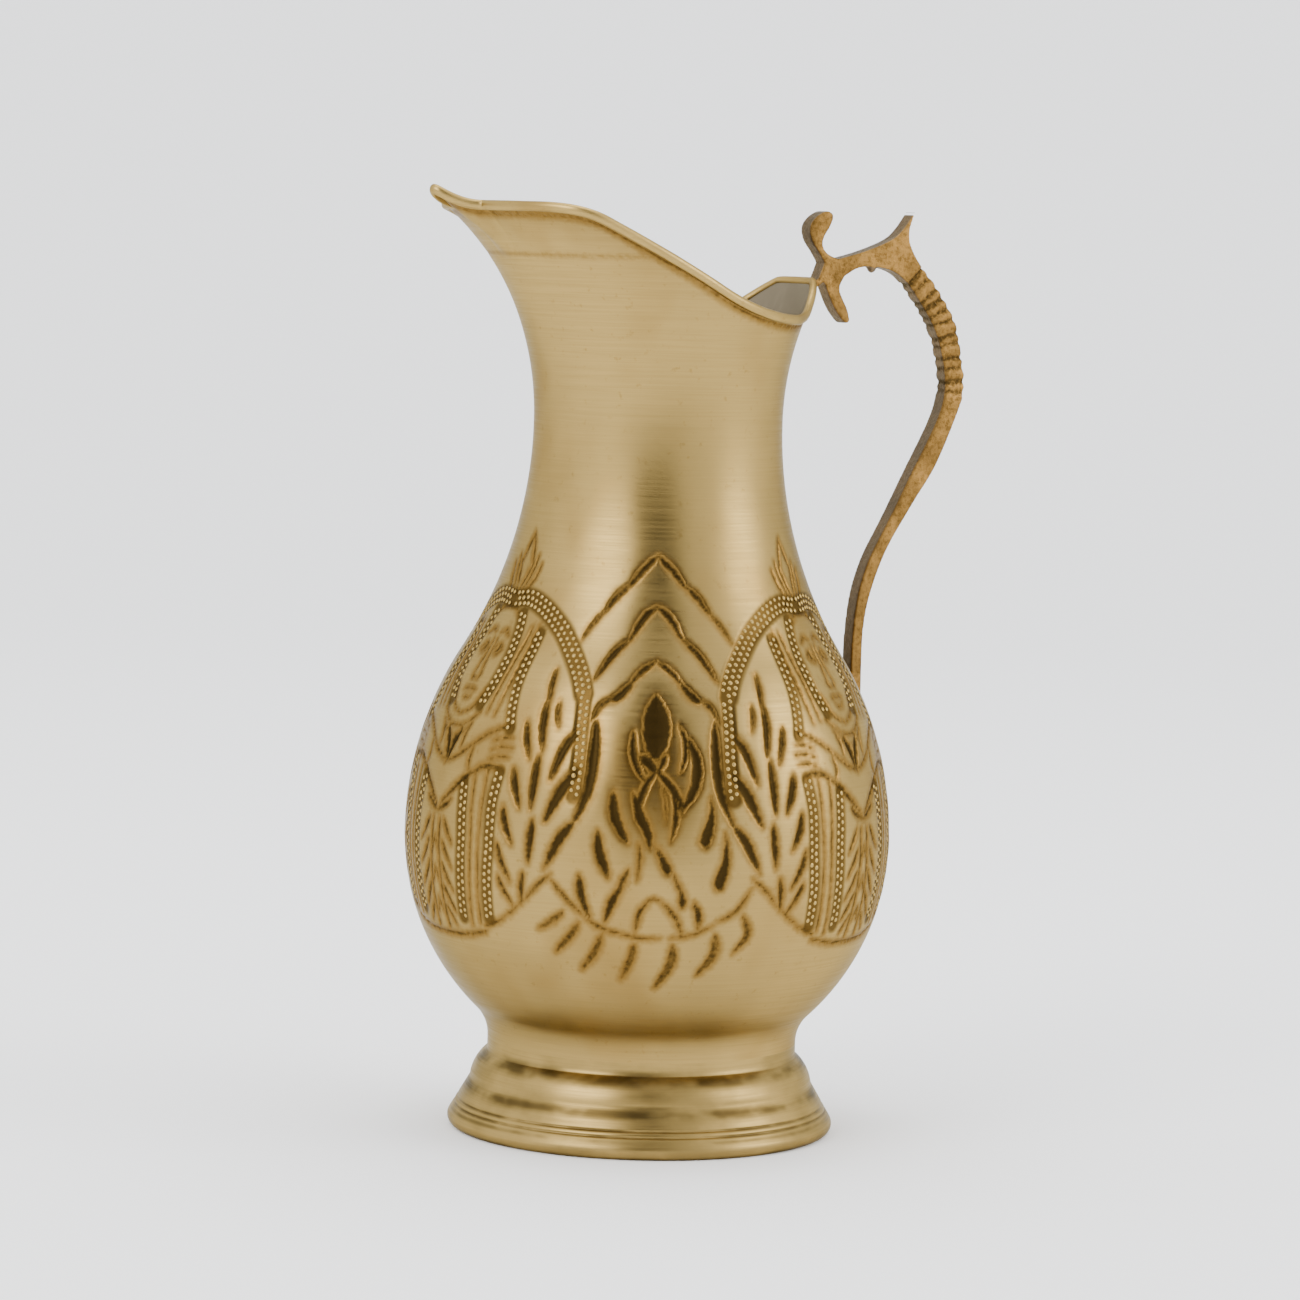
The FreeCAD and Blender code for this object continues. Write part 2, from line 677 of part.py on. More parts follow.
def make_rim_wire(doc, size, arcs, run):
    """Round wire that stands on the cut edge of the mouth."""
    wire = doc.addObject("Part::Feature", "rim_wire")
    wire.Shape = rim_tube(size, arcs, run)
    wire.Label = "rim_wire"
    return wire


def make_neck_funnel(doc, size, arcs, run):
    """Mouth sheet with its beak, ending just under the rim wire."""
    sheet_body = make_funnel_sheet(doc, size, arcs)
    low_run = rim_run(size, size.rim_wire_radius + size.wire_seat + size.wall)
    beak = doc.addObject("Part::Feature", "beak_leaf")
    beak.Shape = make_beak(size, arcs, run, low_run)
    funnel = doc.addObject("Part::Fuse", "neck_funnel")
    funnel.Base = sheet_body
    funnel.Tool = beak
    funnel.Label = "neck_funnel"
    return funnel


def handle_placer(size, arcs):
    """Function that turns a share of the height and a distance out into a place."""
    tail_height = (size.tail_low + size.tail_high) / 2 + TAIL_RISE
    tail_radius = arcs["shoulder"].point(arcs["shoulder"].angle_at(tail_height))[0]
    top_height = (size.tongue_low + size.tongue_high) / 2 + TONGUE_RISE
    top_radius = wall_radius(arcs, top_height) + TONGUE_OUT

    def place(share, out):
        height = tail_height + share * (top_height - tail_height)
        line = tail_radius + share * (top_radius - tail_radius)
        return (line + out, height)
    return place


def make_handle(doc, size, arcs):
    """Flat casting: arm, horn and hook at the top, long grip, tail laid along the shoulder."""
    body = new_body(doc, "handle")
    gap = -size.braze_gap
    shoulder = arcs["shoulder"]
    flare = arcs["flare"]
    place = handle_placer(size, arcs)

    def spots(points):
        return [place(*point) for point in points]

    tail_top = shoulder.point(shoulder.angle_at(size.tail_high, gap), gap)
    tail_end = shoulder.point(shoulder.angle_at(size.tail_low, gap), gap)
    tip = (tail_end[0] + size.tail_tip, size.tail_low)
    tongue_low = flare.point(flare.angle_at(size.tongue_low, gap), gap)
    tongue_high = flare.point(flare.angle_at(size.tongue_high, gap), gap)

    outline = Outline(tail_end)
    outline.line(tip)
    outline.curve([tip] + spots(GRIP_OUTSIDE))
    outline.curve(spots(ARM_TOP))
    outline.curve(spots(HORN_INSIDE))
    outline.curve(spots(HORN_TIP))
    outline.curve(spots(HORN_OUTSIDE))
    outline.line(place(*TONGUE_ROOT_TOP))
    outline.line(tongue_high)
    outline.arc(flare.centre, tongue_low)
    outline.line(place(*TONGUE_ROOT_LOW))
    outline.line(place(*HOOK_ROOT))
    outline.curve(spots(HOOK_OUTSIDE))
    outline.curve(spots(HOOK_TIP))
    outline.curve(spots(HOOK_INSIDE))
    outline.curve(spots(GRIP_INSIDE) + [tail_top])
    outline.arc(shoulder.centre, tail_end)
    bindings = [("tail_low", "DistanceY", 0, "sizes.tail_low"),
                ("tongue_high", "DistanceY", 8, "sizes.tongue_high"),
                ("tongue_low", "DistanceY", 9, "sizes.tongue_low")]
    sketch = add_sketch(body, "handle_outline", outline, bindings)
    pad = body.newObject("PartDesign::Pad", "handle_casting")
    pad.Profile = sketch
    pad.SideType = "Symmetric"
    pad.setExpression("Length", "sizes.handle_width")
    body.Tip = pad
    return body


def make_solder(doc, size, name, arc, low, high):
    """Film of solder laid on the wall under one end of the handle."""
    body = new_body(doc, name)
    gap = -size.braze_gap
    outline = Outline(arc.point(arc.angle_at(low)))
    outline.line(arc.point(arc.angle_at(low, gap), gap))
    outline.arc(arc.centre, arc.point(arc.angle_at(high, gap), gap))
    outline.line(arc.point(arc.angle_at(high)))
    outline.arc(arc.centre, outline.first)
    sketch = add_sketch(body, name + "_profile", outline)
    half = size.handle_width / 2 + size.solder_margin
    reach = math.degrees(math.asin(half / outline.first[0]))
    film = body.newObject("PartDesign::Revolution", name + "_film")
    film.Profile = sketch
    film.ReferenceAxis = (sketch, ["V_Axis"])
    film.Midplane = True
    film.Angle = 2 * reach
    body.Tip = film
    return body


class Sizes:
    """Values read back from the sheet, one attribute per alias."""

    def __init__(self, sheet):
        for name in SIZES:
            setattr(self, name, float(getattr(sheet, name)))


def check_objects(doc):
    """Refuse any object that failed to compute."""
    for item in doc.Objects:
        if "Invalid" in item.State or "Error" in item.State:
            raise RuntimeError("%s failed: %s" % (item.Name, item.State))


def write_parts(parts):
    os.makedirs("parts", exist_ok=True)
    for part in parts:
        shape = part.Shape
        if shape.isNull() or not shape.isValid() or not shape.Solids:
            raise RuntimeError("%s has no valid solid" % part.Label)
    for part in parts:
        part.Shape.exportStep("parts/%s.step" % part.Label)
        box = part.Shape.optimalBoundingBox()
        print("%-20s solids %d  volume %9.1f  x %.2f %.2f  y %.2f %.2f  z %.2f %.2f" % (
            part.Label, len(part.Shape.Solids), part.Shape.Volume,
            box.XMin, box.XMax, box.YMin, box.YMax, box.ZMin, box.ZMax))


def main():
    doc = FreeCAD.newDocument("jug")
    sheet = make_sheet(doc)
    size = Sizes(sheet)
    arcs = wall_arcs(size)
    run = rim_run(size)
    parts = [make_lower_bowl(doc, size, arcs),
             make_upper_bowl(doc, size, arcs),
             make_belly_braze(doc, size, arcs),
             make_neck_braze(doc, size, arcs),
             make_foot_braze(doc, size),
             make_foot_ring(doc, size),
             make_foot_edge_wire(doc, size)]
    parts.append(make_neck_funnel(doc, size, arcs, run))
    parts.append(make_rim_wire(doc, size, arcs, run))
    parts.append(make_handle(doc, size, arcs))
    parts.append(make_solder(doc, size, "handle_lower_solder", arcs["shoulder"],
                             size.tail_low, size.tail_high))
    parts.append(make_solder(doc, size, "handle_upper_solder", arcs["flare"],
                             size.tongue_low, size.tongue_high))
    doc.recompute()
    check_objects(doc)
    write_parts(parts)


main()
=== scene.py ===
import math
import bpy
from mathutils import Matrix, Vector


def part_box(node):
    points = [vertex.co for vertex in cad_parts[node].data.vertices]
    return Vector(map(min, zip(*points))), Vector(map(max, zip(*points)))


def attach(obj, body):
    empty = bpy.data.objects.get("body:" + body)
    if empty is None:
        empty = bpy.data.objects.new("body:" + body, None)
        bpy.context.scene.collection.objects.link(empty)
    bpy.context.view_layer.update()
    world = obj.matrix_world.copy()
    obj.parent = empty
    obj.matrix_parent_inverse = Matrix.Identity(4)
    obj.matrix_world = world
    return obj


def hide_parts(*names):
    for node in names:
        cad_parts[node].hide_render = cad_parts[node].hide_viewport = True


bl_info = {
    "name": "Chased Brass Jug",
    "version": (1, 0, 0),
    "blender": (4, 5, 0),
    "location": "View3D > Sidebar > Jug",
    "description": "Builds the visible skins, chasing and finishes of a brass water jug",
    "category": "Object",
}

import bmesh
import bpy
import numpy as np
from bpy.props import FloatProperty, FloatVectorProperty, IntProperty, PointerProperty
from bpy.types import Operator, Panel, PropertyGroup
from mathutils import Matrix, Vector

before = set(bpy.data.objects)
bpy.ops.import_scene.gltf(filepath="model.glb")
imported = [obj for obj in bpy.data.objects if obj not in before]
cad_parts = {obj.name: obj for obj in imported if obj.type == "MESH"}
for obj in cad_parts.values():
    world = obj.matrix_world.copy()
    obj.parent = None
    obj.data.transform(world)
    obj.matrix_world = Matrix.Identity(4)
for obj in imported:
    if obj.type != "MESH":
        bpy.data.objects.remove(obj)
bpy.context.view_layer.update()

MM = 0.001
FAR = 9.0
TURN = 2 * math.pi
FLAME_AZIMUTH = -118.5
PANELS = 3

# ---------------------------------------------------------------- chasing layout
# Every cut is (half width in mm, shape, [(degrees from the panel's middle, height in mm), ...]).
# Shapes: a lens tapers at both ends, a heart is pointed at its start, a drop widens from its start,
# and any other keeps its width.
# Flame and fringe cuts lie round the middle of a flame panel. Side cuts are struck again as their
# mirror image; 60 degrees is the middle of a figure panel.

FLAME_CUTS = [
    # flame heart and the tongues round it
    (4.15, "heart", [(0, 132.5), (0.2, 126), (0.3, 116.5)]),
    (1.34, "lens", [(-5.5, 122.5), (-5.4, 117), (-4.2, 112.5), (-2, 108.5)]),
    (1.1, "lens", [(5.9, 124.5), (7.4, 120), (7.2, 115), (5.9, 111.5)]),
    (1.83, "lens", [(8.2, 121), (10.2, 114), (9.4, 107), (6.4, 101)]),
    (1.22, "lens", [(0.6, 112), (-1.8, 108.5), (-3.4, 103), (-4.2, 98)]),
    (1.59, "lens", [(-4.9, 106), (-3.4, 100), (-1.4, 95), (-0.6, 90.5)]),
    (1.34, "lens", [(0.2, 112.5), (3.1, 108.5), (5.6, 104.5), (6.6, 100)]),
    (1.1, "lens", [(4.2, 107), (5.0, 102), (4.9, 97), (3.9, 92.5)]),
    (0.43, "lens", [(1.6, 108), (2.6, 103), (2.9, 97.5)]),
    (1.65, "lens", [(-9.6, 106), (-9.2, 100), (-7.6, 95.5), (-5.8, 92)]),
    (1.52, "lens", [(-12.8, 95), (-12.4, 90), (-11.2, 85.5), (-9.8, 82)]),
    (0.61, "lens", [(-3.2, 92), (-3.0, 87), (-3.4, 81.5)]),
    (1.4, "drop", [(0.0, 92), (1.8, 88.5), (3.4, 84.5)]),
    (0.61, "lens", [(4.6, 84), (6.0, 80), (7.0, 77)]),
    (1.1, "drop", [(6.2, 81), (6.9, 78), (7.1, 75)]),
    (1.77, "drop", [(13.2, 105), (13.4, 99), (11.9, 92.5)]),
    (1.65, "drop", [(16.6, 95), (17.0, 88), (15.4, 80.5)]),
    (1.22, "lens", [(-16.8, 82.5), (-16.4, 77), (-14.4, 70)]),
    (0.85, "lens", [(-5.4, 84.5), (-6.8, 81), (-7.6, 78)]),
    (1.22, "lens", [(-7.2, 79), (-9.2, 75), (-10.8, 69.5)]),
    (0.98, "lens", [(9.6, 75.5), (11.0, 72), (11.2, 67.5)]),
    (1.7, "lens", [(-3.4, 116), (-1.2, 113.6), (0.4, 111.2)]),
    (1.2, "lens", [(2.6, 116.5), (1.9, 114), (0.6, 111.4)]),
    # small peak standing on the ground line
    (0.7, "lens", [(-0.8, 75.5), (-2.8, 72), (-3.8, 66.5)]),
    (0.35, "lens", [(-1.2, 75.6), (0.8, 76.4), (3.2, 74.6)]),
    (0.75, "lens", [(2.4, 75.4), (5.4, 71.5), (7.4, 66.3)]),
    # ground line
    (0.6, "lens", [(-23.6, 80.5), (-20.0, 75.5), (-15.2, 70)]),
    (0.55, "lens", [(-15.6, 70.2), (-11.2, 67.2), (-6.4, 66)]),
    (0.4, "lens", [(-8.2, 66.3), (-3.2, 65), (2.2, 65)]),
    (0.4, "lens", [(4.6, 65.1), (9.6, 66), (14.8, 68.8)]),
    (0.6, "lens", [(16.0, 70), (20.2, 73), (23.4, 79)]),
]

# Shallow fringe under the ground line of the flame panel.
FRINGE_CUTS = [
    (0.85, "lens", [(-20.8, 71.5), (-23.6, 68.8), (-27.4, 66)]),
    (0.95, "lens", [(-17.0, 68.6), (-19.8, 64), (-23.6, 59.6)]),
    (1.0, "lens", [(-11.6, 65.4), (-13.6, 60), (-17.2, 54.8)]),
    (0.95, "lens", [(-3.8, 63.2), (-4.8, 58.4), (-7.2, 52.4)]),
    (1.25, "lens", [(5.4, 63), (5.2, 57), (1.6, 50)]),
    (1.3, "lens", [(15.6, 66), (15.8, 60), (12.2, 54)]),
    (1.0, "lens", [(22.0, 71.4), (23.8, 66), (20.8, 60.4)]),
]

SIDE_CUTS = [
    # three nested peaks, each side struck in two or three passes
    (1.14, "lens", [(-0.6, 170.3), (5.6, 166), (10.8, 160.8)]),
    (0.96, "lens", [(10.0, 161.8), (14.8, 158.2), (18.4, 153.6)]),
    (0.6, "lens", [(17.8, 154.6), (21.6, 150.6), (24.2, 146.2)]),
    (1.2, "lens", [(-0.5, 156.4), (4.6, 152.8), (8.9, 146.2)]),
    (1.08, "lens", [(8.4, 147.2), (13.4, 142.6), (17.4, 136)]),
    (0.96, "lens", [(-0.5, 141.6), (4.4, 138.4), (7.8, 134.4)]),
    (1.32, "lens", [(6.6, 135.6), (10.2, 131.6), (12.6, 130.6)]),
    (0.84, "lens", [(11.4, 131.4), (14.6, 129), (16.6, 124.6)]),
    # narrow leaf beside the flame
    (1.7, "lens", [(15.2, 125), (14.9, 116), (15.6, 106), (18.6, 96.5)]),
    # leafy branch, middle stem
    (0.8, "lens", [(29.8, 138), (29.8, 133.6), (29.2, 128.4)]),
    (1.15, "lens", [(29.8, 129.4), (29.6, 123), (28.4, 115.6)]),
    (1.2, "lens", [(29.2, 114.6), (29.4, 107), (29.6, 99.4)]),
    (1.15, "lens", [(28.8, 97), (29.2, 91), (29.6, 84.6)]),
    (0.85, "lens", [(30.8, 82), (31.4, 77.6), (31.6, 72.6)]),
    # leaves on the flame side
    (0.7, "lens", [(26.2, 129.5), (26.0, 126), (25.0, 122.4)]),
    (1.35, "lens", [(19.8, 121.8), (22.8, 116.6), (25.2, 108)]),
    (1.7, "lens", [(18.6, 111.6), (22.4, 105), (25.8, 96.4)]),
    (1.5, "lens", [(18.8, 96.8), (22.0, 91.6), (24.8, 84.4)]),
    (0.5, "lens", [(21.4, 94), (23.8, 89.4), (25.4, 83)]),
    # leaves on the figure side
    (1.0, "lens", [(34.4, 123.4), (33.4, 118.6), (31.6, 113.2)]),
    (1.3, "lens", [(35.6, 110.6), (34.6, 105.6), (32.6, 99.6)]),
    (1.15, "lens", [(37.2, 99.8), (36.2, 94.6), (34.0, 89.2)]),
    (0.9, "lens", [(38.2, 89.4), (36.8, 84), (34.2, 78.6)]),
    (0.75, "lens", [(37.8, 80), (36.2, 76), (33.6, 71.4)]),
    # lower edge of the figure panel
    (0.55, "lens", [(23.6, 82), (27.0, 78.6), (31.0, 73.4)]),
    (0.4, "lens", [(31.8, 73), (34.6, 70), (37.6, 67.8)]),
    (0.5, "lens", [(37.0, 67.8), (41.0, 65.6), (43.6, 64.6)]),
    (0.5, "line", [(43.6, 63), (51.0, 61.2), (60.6, 60.6)]),
    # crown leaf and its side sprigs
    (0.45, "lens", [(60.2, 174.6), (57.6, 169.6), (55.6, 165)]),
    (0.5, "lens", [(55.4, 166.4), (57.2, 162.6), (59.2, 158.4)]),
    (0.4, "lens", [(53.2, 168), (54.4, 163.4), (57.0, 158.2)]),
    (0.45, "lens", [(50.2, 165.8), (52.0, 161.4), (55.2, 157.4)]),
    # brow band over the face
    (0.3, "line", [(60.6, 157.6), (56.0, 157.2), (52.6, 155.4)]),
    (0.3, "line", [(60.6, 153.6), (56.6, 153.2), (53.6, 151.6)]),
    # forearm and the hand that holds the veil's edge
    (0.5, "lens", [(39.4, 121.8), (45.8, 119), (52.4, 114)]),
    (0.55, "lens", [(51.0, 115), (56.0, 111.6), (60.4, 109.8)]),
    (0.8, "lens", [(38.6, 110), (44.8, 110), (49.6, 107)]),
    (0.8, "lens", [(48.4, 108.4), (53.6, 103.6), (59.6, 97.4)]),
    (0.35, "lens", [(37.4, 118.6), (40.4, 118.4), (43.4, 117.2)]),
    (0.35, "lens", [(37.0, 115.8), (40.4, 115.8), (43.6, 114.8)]),
    (0.35, "lens", [(37.4, 113), (40.6, 113.2), (43.8, 112.2)]),
    (0.4, "lens", [(50.0, 114.8), (50.6, 110.6), (49.6, 107.4)]),
    # sleeve folds
    (1.3, "lens", [(56.6, 119.6), (58.8, 114.8), (60.0, 109.6)]),
    (0.5, "lens", [(53.4, 121), (54.6, 118), (55.0, 114.4)]),
    (0.8, "lens", [(54.6, 99.8), (57.4, 97.4), (60.4, 96)]),
    # plain edge of the veil between its two beaded bands
    (0.3, "line", [(43.2, 109), (43.6, 98), (43.8, 86), (44.6, 65.6)]),
    (0.3, "line", [(47.2, 107.6), (46.8, 98), (46.4, 86), (47.6, 64.4)]),
    (0.4, "lens", [(41.6, 149), (43.2, 138), (45.6, 124)]),
    (0.4, "lens", [(44.2, 148.6), (46.2, 138), (48.6, 124.6)]),
    # herringbone of the skirt
    (0.45, "line", [(58.6, 93.6), (58.2, 80), (57.6, 62.6)]),
    (0.65, "lens", [(56.8, 94), (55.2, 90.6), (53.0, 87)]),
    (0.65, "lens", [(57.0, 87.6), (55.4, 84), (53.0, 80)]),
    (0.65, "lens", [(57.2, 81.4), (55.6, 77.6), (53.0, 73.4)]),
    (0.65, "lens", [(57.2, 75.2), (55.4, 71.4), (53.2, 67.4)]),
    (0.55, "lens", [(57.0, 69), (55.4, 66), (54.0, 63.4)]),
    (0.35, "lens", [(60.0, 89), (59.4, 86.6), (58.8, 84.6)]),
    (0.35, "lens", [(60.0, 80), (59.4, 77.6), (58.8, 75.6)]),
    (0.35, "lens", [(60.0, 71), (59.4, 68.6), (58.8, 66.6)]),
    # collar
    (0.3, "line", [(51.2, 124.4), (56.0, 120.8), (60.4, 119.8)]),
    (0.3, "lens", [(52.8, 121.4), (56.4, 118.2), (60.4, 117)]),
    # face: brow, lids, nose, mouth, chin
    (0.42, "lens", [(53.8, 145.4), (56.2, 146.9), (58.6, 146.2)]),
    (0.34, "lens", [(53.7, 141.4), (56.1, 143.1), (58.5, 141.5)]),
    (0.26, "lens", [(53.9, 141.2), (56.1, 140.1), (58.4, 141.3)]),
    (0.72, "dot", [(56.1, 141.9), (56.2, 141.4)]),
    (0.3, "lens", [(59.0, 144.4), (58.9, 139), (58.2, 134.6)]),
    (0.4, "lens", [(57.9, 134.7), (58.8, 133.3), (60.4, 133.2)]),
    (0.42, "lens", [(57.2, 130.1), (58.8, 130.6), (60.5, 130.2)]),
    (0.26, "lens", [(58.2, 128.3), (59.3, 127.7), (60.5, 127.6)]),
    (0.35, "lens", [(52.6, 131), (55.2, 125.6), (60.5, 123)]),
]

# Bands of ring-punched beads: (rows, half width in mm, [(degrees, height), ...]), also mirrored.
BEAD_BANDS = [
    (3, 2.9, [(58.5, 155.6), (50, 156.2), (41, 153.6), (32, 148.4), (25.4, 141.6), (21.6, 136.2),
              (19.8, 131.8)]),
    (2, 2.2, [(19.4, 131), (19.0, 124), (18.6, 114), (19.0, 104)]),
    (2, 1.9, [(40.2, 147), (40.8, 141), (41.2, 133), (40.2, 125), (39.2, 121)]),
    (2, 2.0, [(39.6, 108.6), (40.6, 100), (40.6, 88), (41.2, 78), (41.6, 67.2)]),
    (2, 2.0, [(51.4, 152), (49.8, 146), (49.4, 139), (50.6, 131.6), (52.4, 126.4)]),
    (2, 2.0, [(50.6, 104.6), (50.0, 96), (49.6, 86), (50.6, 66.4)]),
]


# ---------------------------------------------------------------- settings
class JugSizes(PropertyGroup):
    """Sizes a maker would change"""
    belly_radius: FloatProperty(
        name="Belly radius", description="Outer radius at the widest place",
        default=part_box("lower_bowl")[1].x, unit="LENGTH")
    neck_radius: FloatProperty(
        name="Neck radius", description="Outer radius at the narrowest place", default=0.036, unit="LENGTH")
    wall: FloatProperty(
        name="Wall", description="Thickness of the sheet", default=0.0008, unit="LENGTH")
    cut_depth: FloatProperty(
        name="Cut depth", description="Depth of the widest chased cuts", default=0.0005, unit="LENGTH")
    band_depth: FloatProperty(
        name="Band depth", description="How far the ground of a beaded band is set down",
        default=0.0003, unit="LENGTH")
    bead_radius: FloatProperty(
        name="Bead radius", description="Radius of one ring-punched bead", default=0.00074, unit="LENGTH")
    bead_pitch: FloatProperty(
        name="Bead pitch", description="Distance from bead to bead along a band",
        default=0.00205, unit="LENGTH")
    rim_radius: FloatProperty(
        name="Rim wire radius", description="Radius of the wire along the mouth",
        default=0.00115, unit="LENGTH")
    columns: IntProperty(
        name="Columns", description="Number of steps round the body", default=720, min=240)


class JugFinish(PropertyGroup):
    """Colours and gloss of the brass"""
    body_colour: FloatVectorProperty(
        name="Body brass", description="Rubbed brass of the body", subtype="COLOR",
        size=3, min=0, max=1, default=(0.362, 0.246, 0.078))
    patina_colour: FloatVectorProperty(
        name="Patina", description="Blackened patina in the cuts", subtype="COLOR",
        size=3, min=0, max=1, default=(0.030, 0.018, 0.005))
    halo_colour: FloatVectorProperty(
        name="Halo", description="Amber stain beside the cuts", subtype="COLOR",
        size=3, min=0, max=1, default=(0.185, 0.096, 0.018))
    inside_colour: FloatVectorProperty(
        name="Inside", description="Grey tarnish inside the mouth", subtype="COLOR",
        size=3, min=0, max=1, default=(0.20, 0.165, 0.11))
    handle_colour: FloatVectorProperty(
        name="Handle brass", description="Browner cast brass of the handle", subtype="COLOR",
        size=3, min=0, max=1, default=(0.255, 0.138, 0.036))
    gloss: FloatProperty(
        name="Roughness", description="Roughness of rubbed brass", default=0.36, min=0, max=1)


# ---------------------------------------------------------------- shape of the wall
BELLY_HEIGHT = 86.0
WAIST_RADIUS = 45.0
WAIST_HEIGHT = 26.0
SHOULDER_ARC = 100.6
NECK_HEIGHT = 206.4
THROAT_ARC = 85.8
THROAT_TURN = math.radians(20)
FLARE_ARC = 72.7
LIP_TOP = 275.0


def wall_stretches(belly, neck):
    """Round stretches of the outer wall: top height, centre radius, centre height, arc, bulging."""
    rise = BELLY_HEIGHT - WAIST_HEIGHT
    fillet = (WAIST_RADIUS ** 2 + rise ** 2 - belly ** 2) / (2 * (belly - WAIST_RADIUS))
    meet = math.atan2(-rise, WAIST_RADIUS + fillet)
    climb = NECK_HEIGHT - BELLY_HEIGHT
    turn = 2 * math.atan((belly - neck) / climb)
    neck_arc = climb / math.sin(turn) - SHOULDER_ARC
    throat_top = NECK_HEIGHT + THROAT_ARC * math.sin(THROAT_TURN)
    throat_radius = neck + THROAT_ARC * (1 - math.cos(THROAT_TURN))
    return [
        (BELLY_HEIGHT + belly * math.sin(meet), WAIST_RADIUS + fillet, WAIST_HEIGHT, fillet, -1),
        (BELLY_HEIGHT, 0.0, BELLY_HEIGHT, belly, 1),
        (BELLY_HEIGHT + SHOULDER_ARC * math.sin(turn), belly - SHOULDER_ARC, BELLY_HEIGHT, SHOULDER_ARC, 1),
        (NECK_HEIGHT, neck + neck_arc, NECK_HEIGHT, neck_arc, -1),
        (throat_top, neck + THROAT_ARC, NECK_HEIGHT, THROAT_ARC, -1),
        (LIP_TOP + 10, throat_radius + FLARE_ARC * math.cos(THROAT_TURN),
         throat_top - FLARE_ARC * math.sin(THROAT_TURN), FLARE_ARC, -1),
    ]


class Wall:
    """Outer wall of the body as radius, slope and length along the sheet over height."""

    def __init__(self, sizes):
        self.heights = np.linspace(WAIST_HEIGHT, LIP_TOP, 5000)
        radii = np.zeros_like(self.heights)
        low = WAIST_HEIGHT - 1
        stretches = wall_stretches(sizes.belly_radius / MM, sizes.neck_radius / MM)
        for top, centre, level, arc, bulging in stretches:
            here = (self.heights > low) & (self.heights <= top)
            reach = np.sqrt(arc ** 2 - (self.heights[here] - level) ** 2)
            radii[here] = centre + bulging * reach
            low = top
        self.radii = radii
        self.slopes = np.gradient(radii, self.heights)
        steps = np.hypot(np.diff(radii), np.diff(self.heights))
        self.lengths = np.concatenate([[0], np.cumsum(steps)])

    def radius(self, height):
        return np.interp(height, self.heights, self.radii)

    def slope(self, height):
        return np.interp(height, self.heights, self.slopes)

    def length(self, height):
        return np.interp(height, self.heights, self.lengths)

    def height_at(self, length):
        return np.interp(length, self.lengths, self.heights)

    def outward(self, height):
        """Outward direction of the wall as (radius, height) parts."""
        slope = self.slope(height)
        size = np.sqrt(1 + slope ** 2)
        return 1 / size, -slope / size


# ---------------------------------------------------------------- chased cuts
def eased(points, steps=4):
    """Rounds a run of points through a free curve."""
    spots = [Vector(point) for point in points]
    if len(spots) < 3:
        return [tuple(spot) for spot in spots]
    spots = [2 * spots[0] - spots[1]] + spots + [2 * spots[-1] - spots[-2]]
    made = []
    for a, b, c, d in zip(spots, spots[1:], spots[2:], spots[3:]):
        for step in range(steps):
            t = step / steps
            spot = 0.5 * (2 * b + (c - a) * t + (2 * a - 5 * b + 4 * c - d) * t * t
                          + (3 * b - a - 3 * c + d) * t ** 3)
            made.append(tuple(spot))
    made.append(tuple(spots[-2]))
    return made


def half_width(shape, share):
    """Width of a cut along its run, as a share of its widest."""
    if shape == "lens":
        return 0.16 + 0.84 * np.clip(np.sin(math.pi * share ** 0.85), 0, 1) ** 0.6
    if shape == "drop":
        return 0.15 + 0.85 * np.clip(share * 1.25, 0, 1) ** 0.9
    if shape == "heart":
        return 0.1 + 0.9 * np.clip(np.sin(math.pi * (0.12 + 0.88 * (1 - share) ** 0.8)), 0, 1)
    return np.ones_like(share)


REACH_OUT = 4.5
FRINGE_LOWEST = -0.42


def gap_to_run(wall, degrees, length, reach, cut):
    """Which places lie near a cut, and their distance in mm to its edge: negative inside it."""
    width, shape, points = cut
    run = np.array(eased(points))
    lengths = wall.length(run[:, 1])
    margin = (width + REACH_OUT) / reach.min() if len(reach) else 0
    near = np.flatnonzero((degrees > run[:, 0].min() - margin) & (degrees < run[:, 0].max() + margin)
                          & (length > lengths.min() - width - REACH_OUT)
                          & (length < lengths.max() + width + REACH_OUT))
    scale, across_here, up_here = reach[near], degrees[near], length[near]
    best = np.full(near.shape, FAR)
    count = len(run) - 1
    for index in range(count):
        across = (across_here - run[index, 0]) * scale
        up = up_here - lengths[index]
        run_across = (run[index + 1, 0] - run[index, 0]) * scale
        run_up = lengths[index + 1] - lengths[index]
        share = np.clip((across * run_across + up * run_up) / (run_across ** 2 + run_up ** 2 + 1e-9), 0, 1)
        gap = np.hypot(across - share * run_across, up - share * run_up)
        best = np.minimum(best, gap - width * half_width(shape, (index + share) / count))
    return near, best


def folded(azimuth):
    """Degrees from the middle of the nearest flame panel."""
    period = 360.0 / PANELS
    return (np.degrees(azimuth) - FLAME_AZIMUTH + period / 2) % period - period / 2


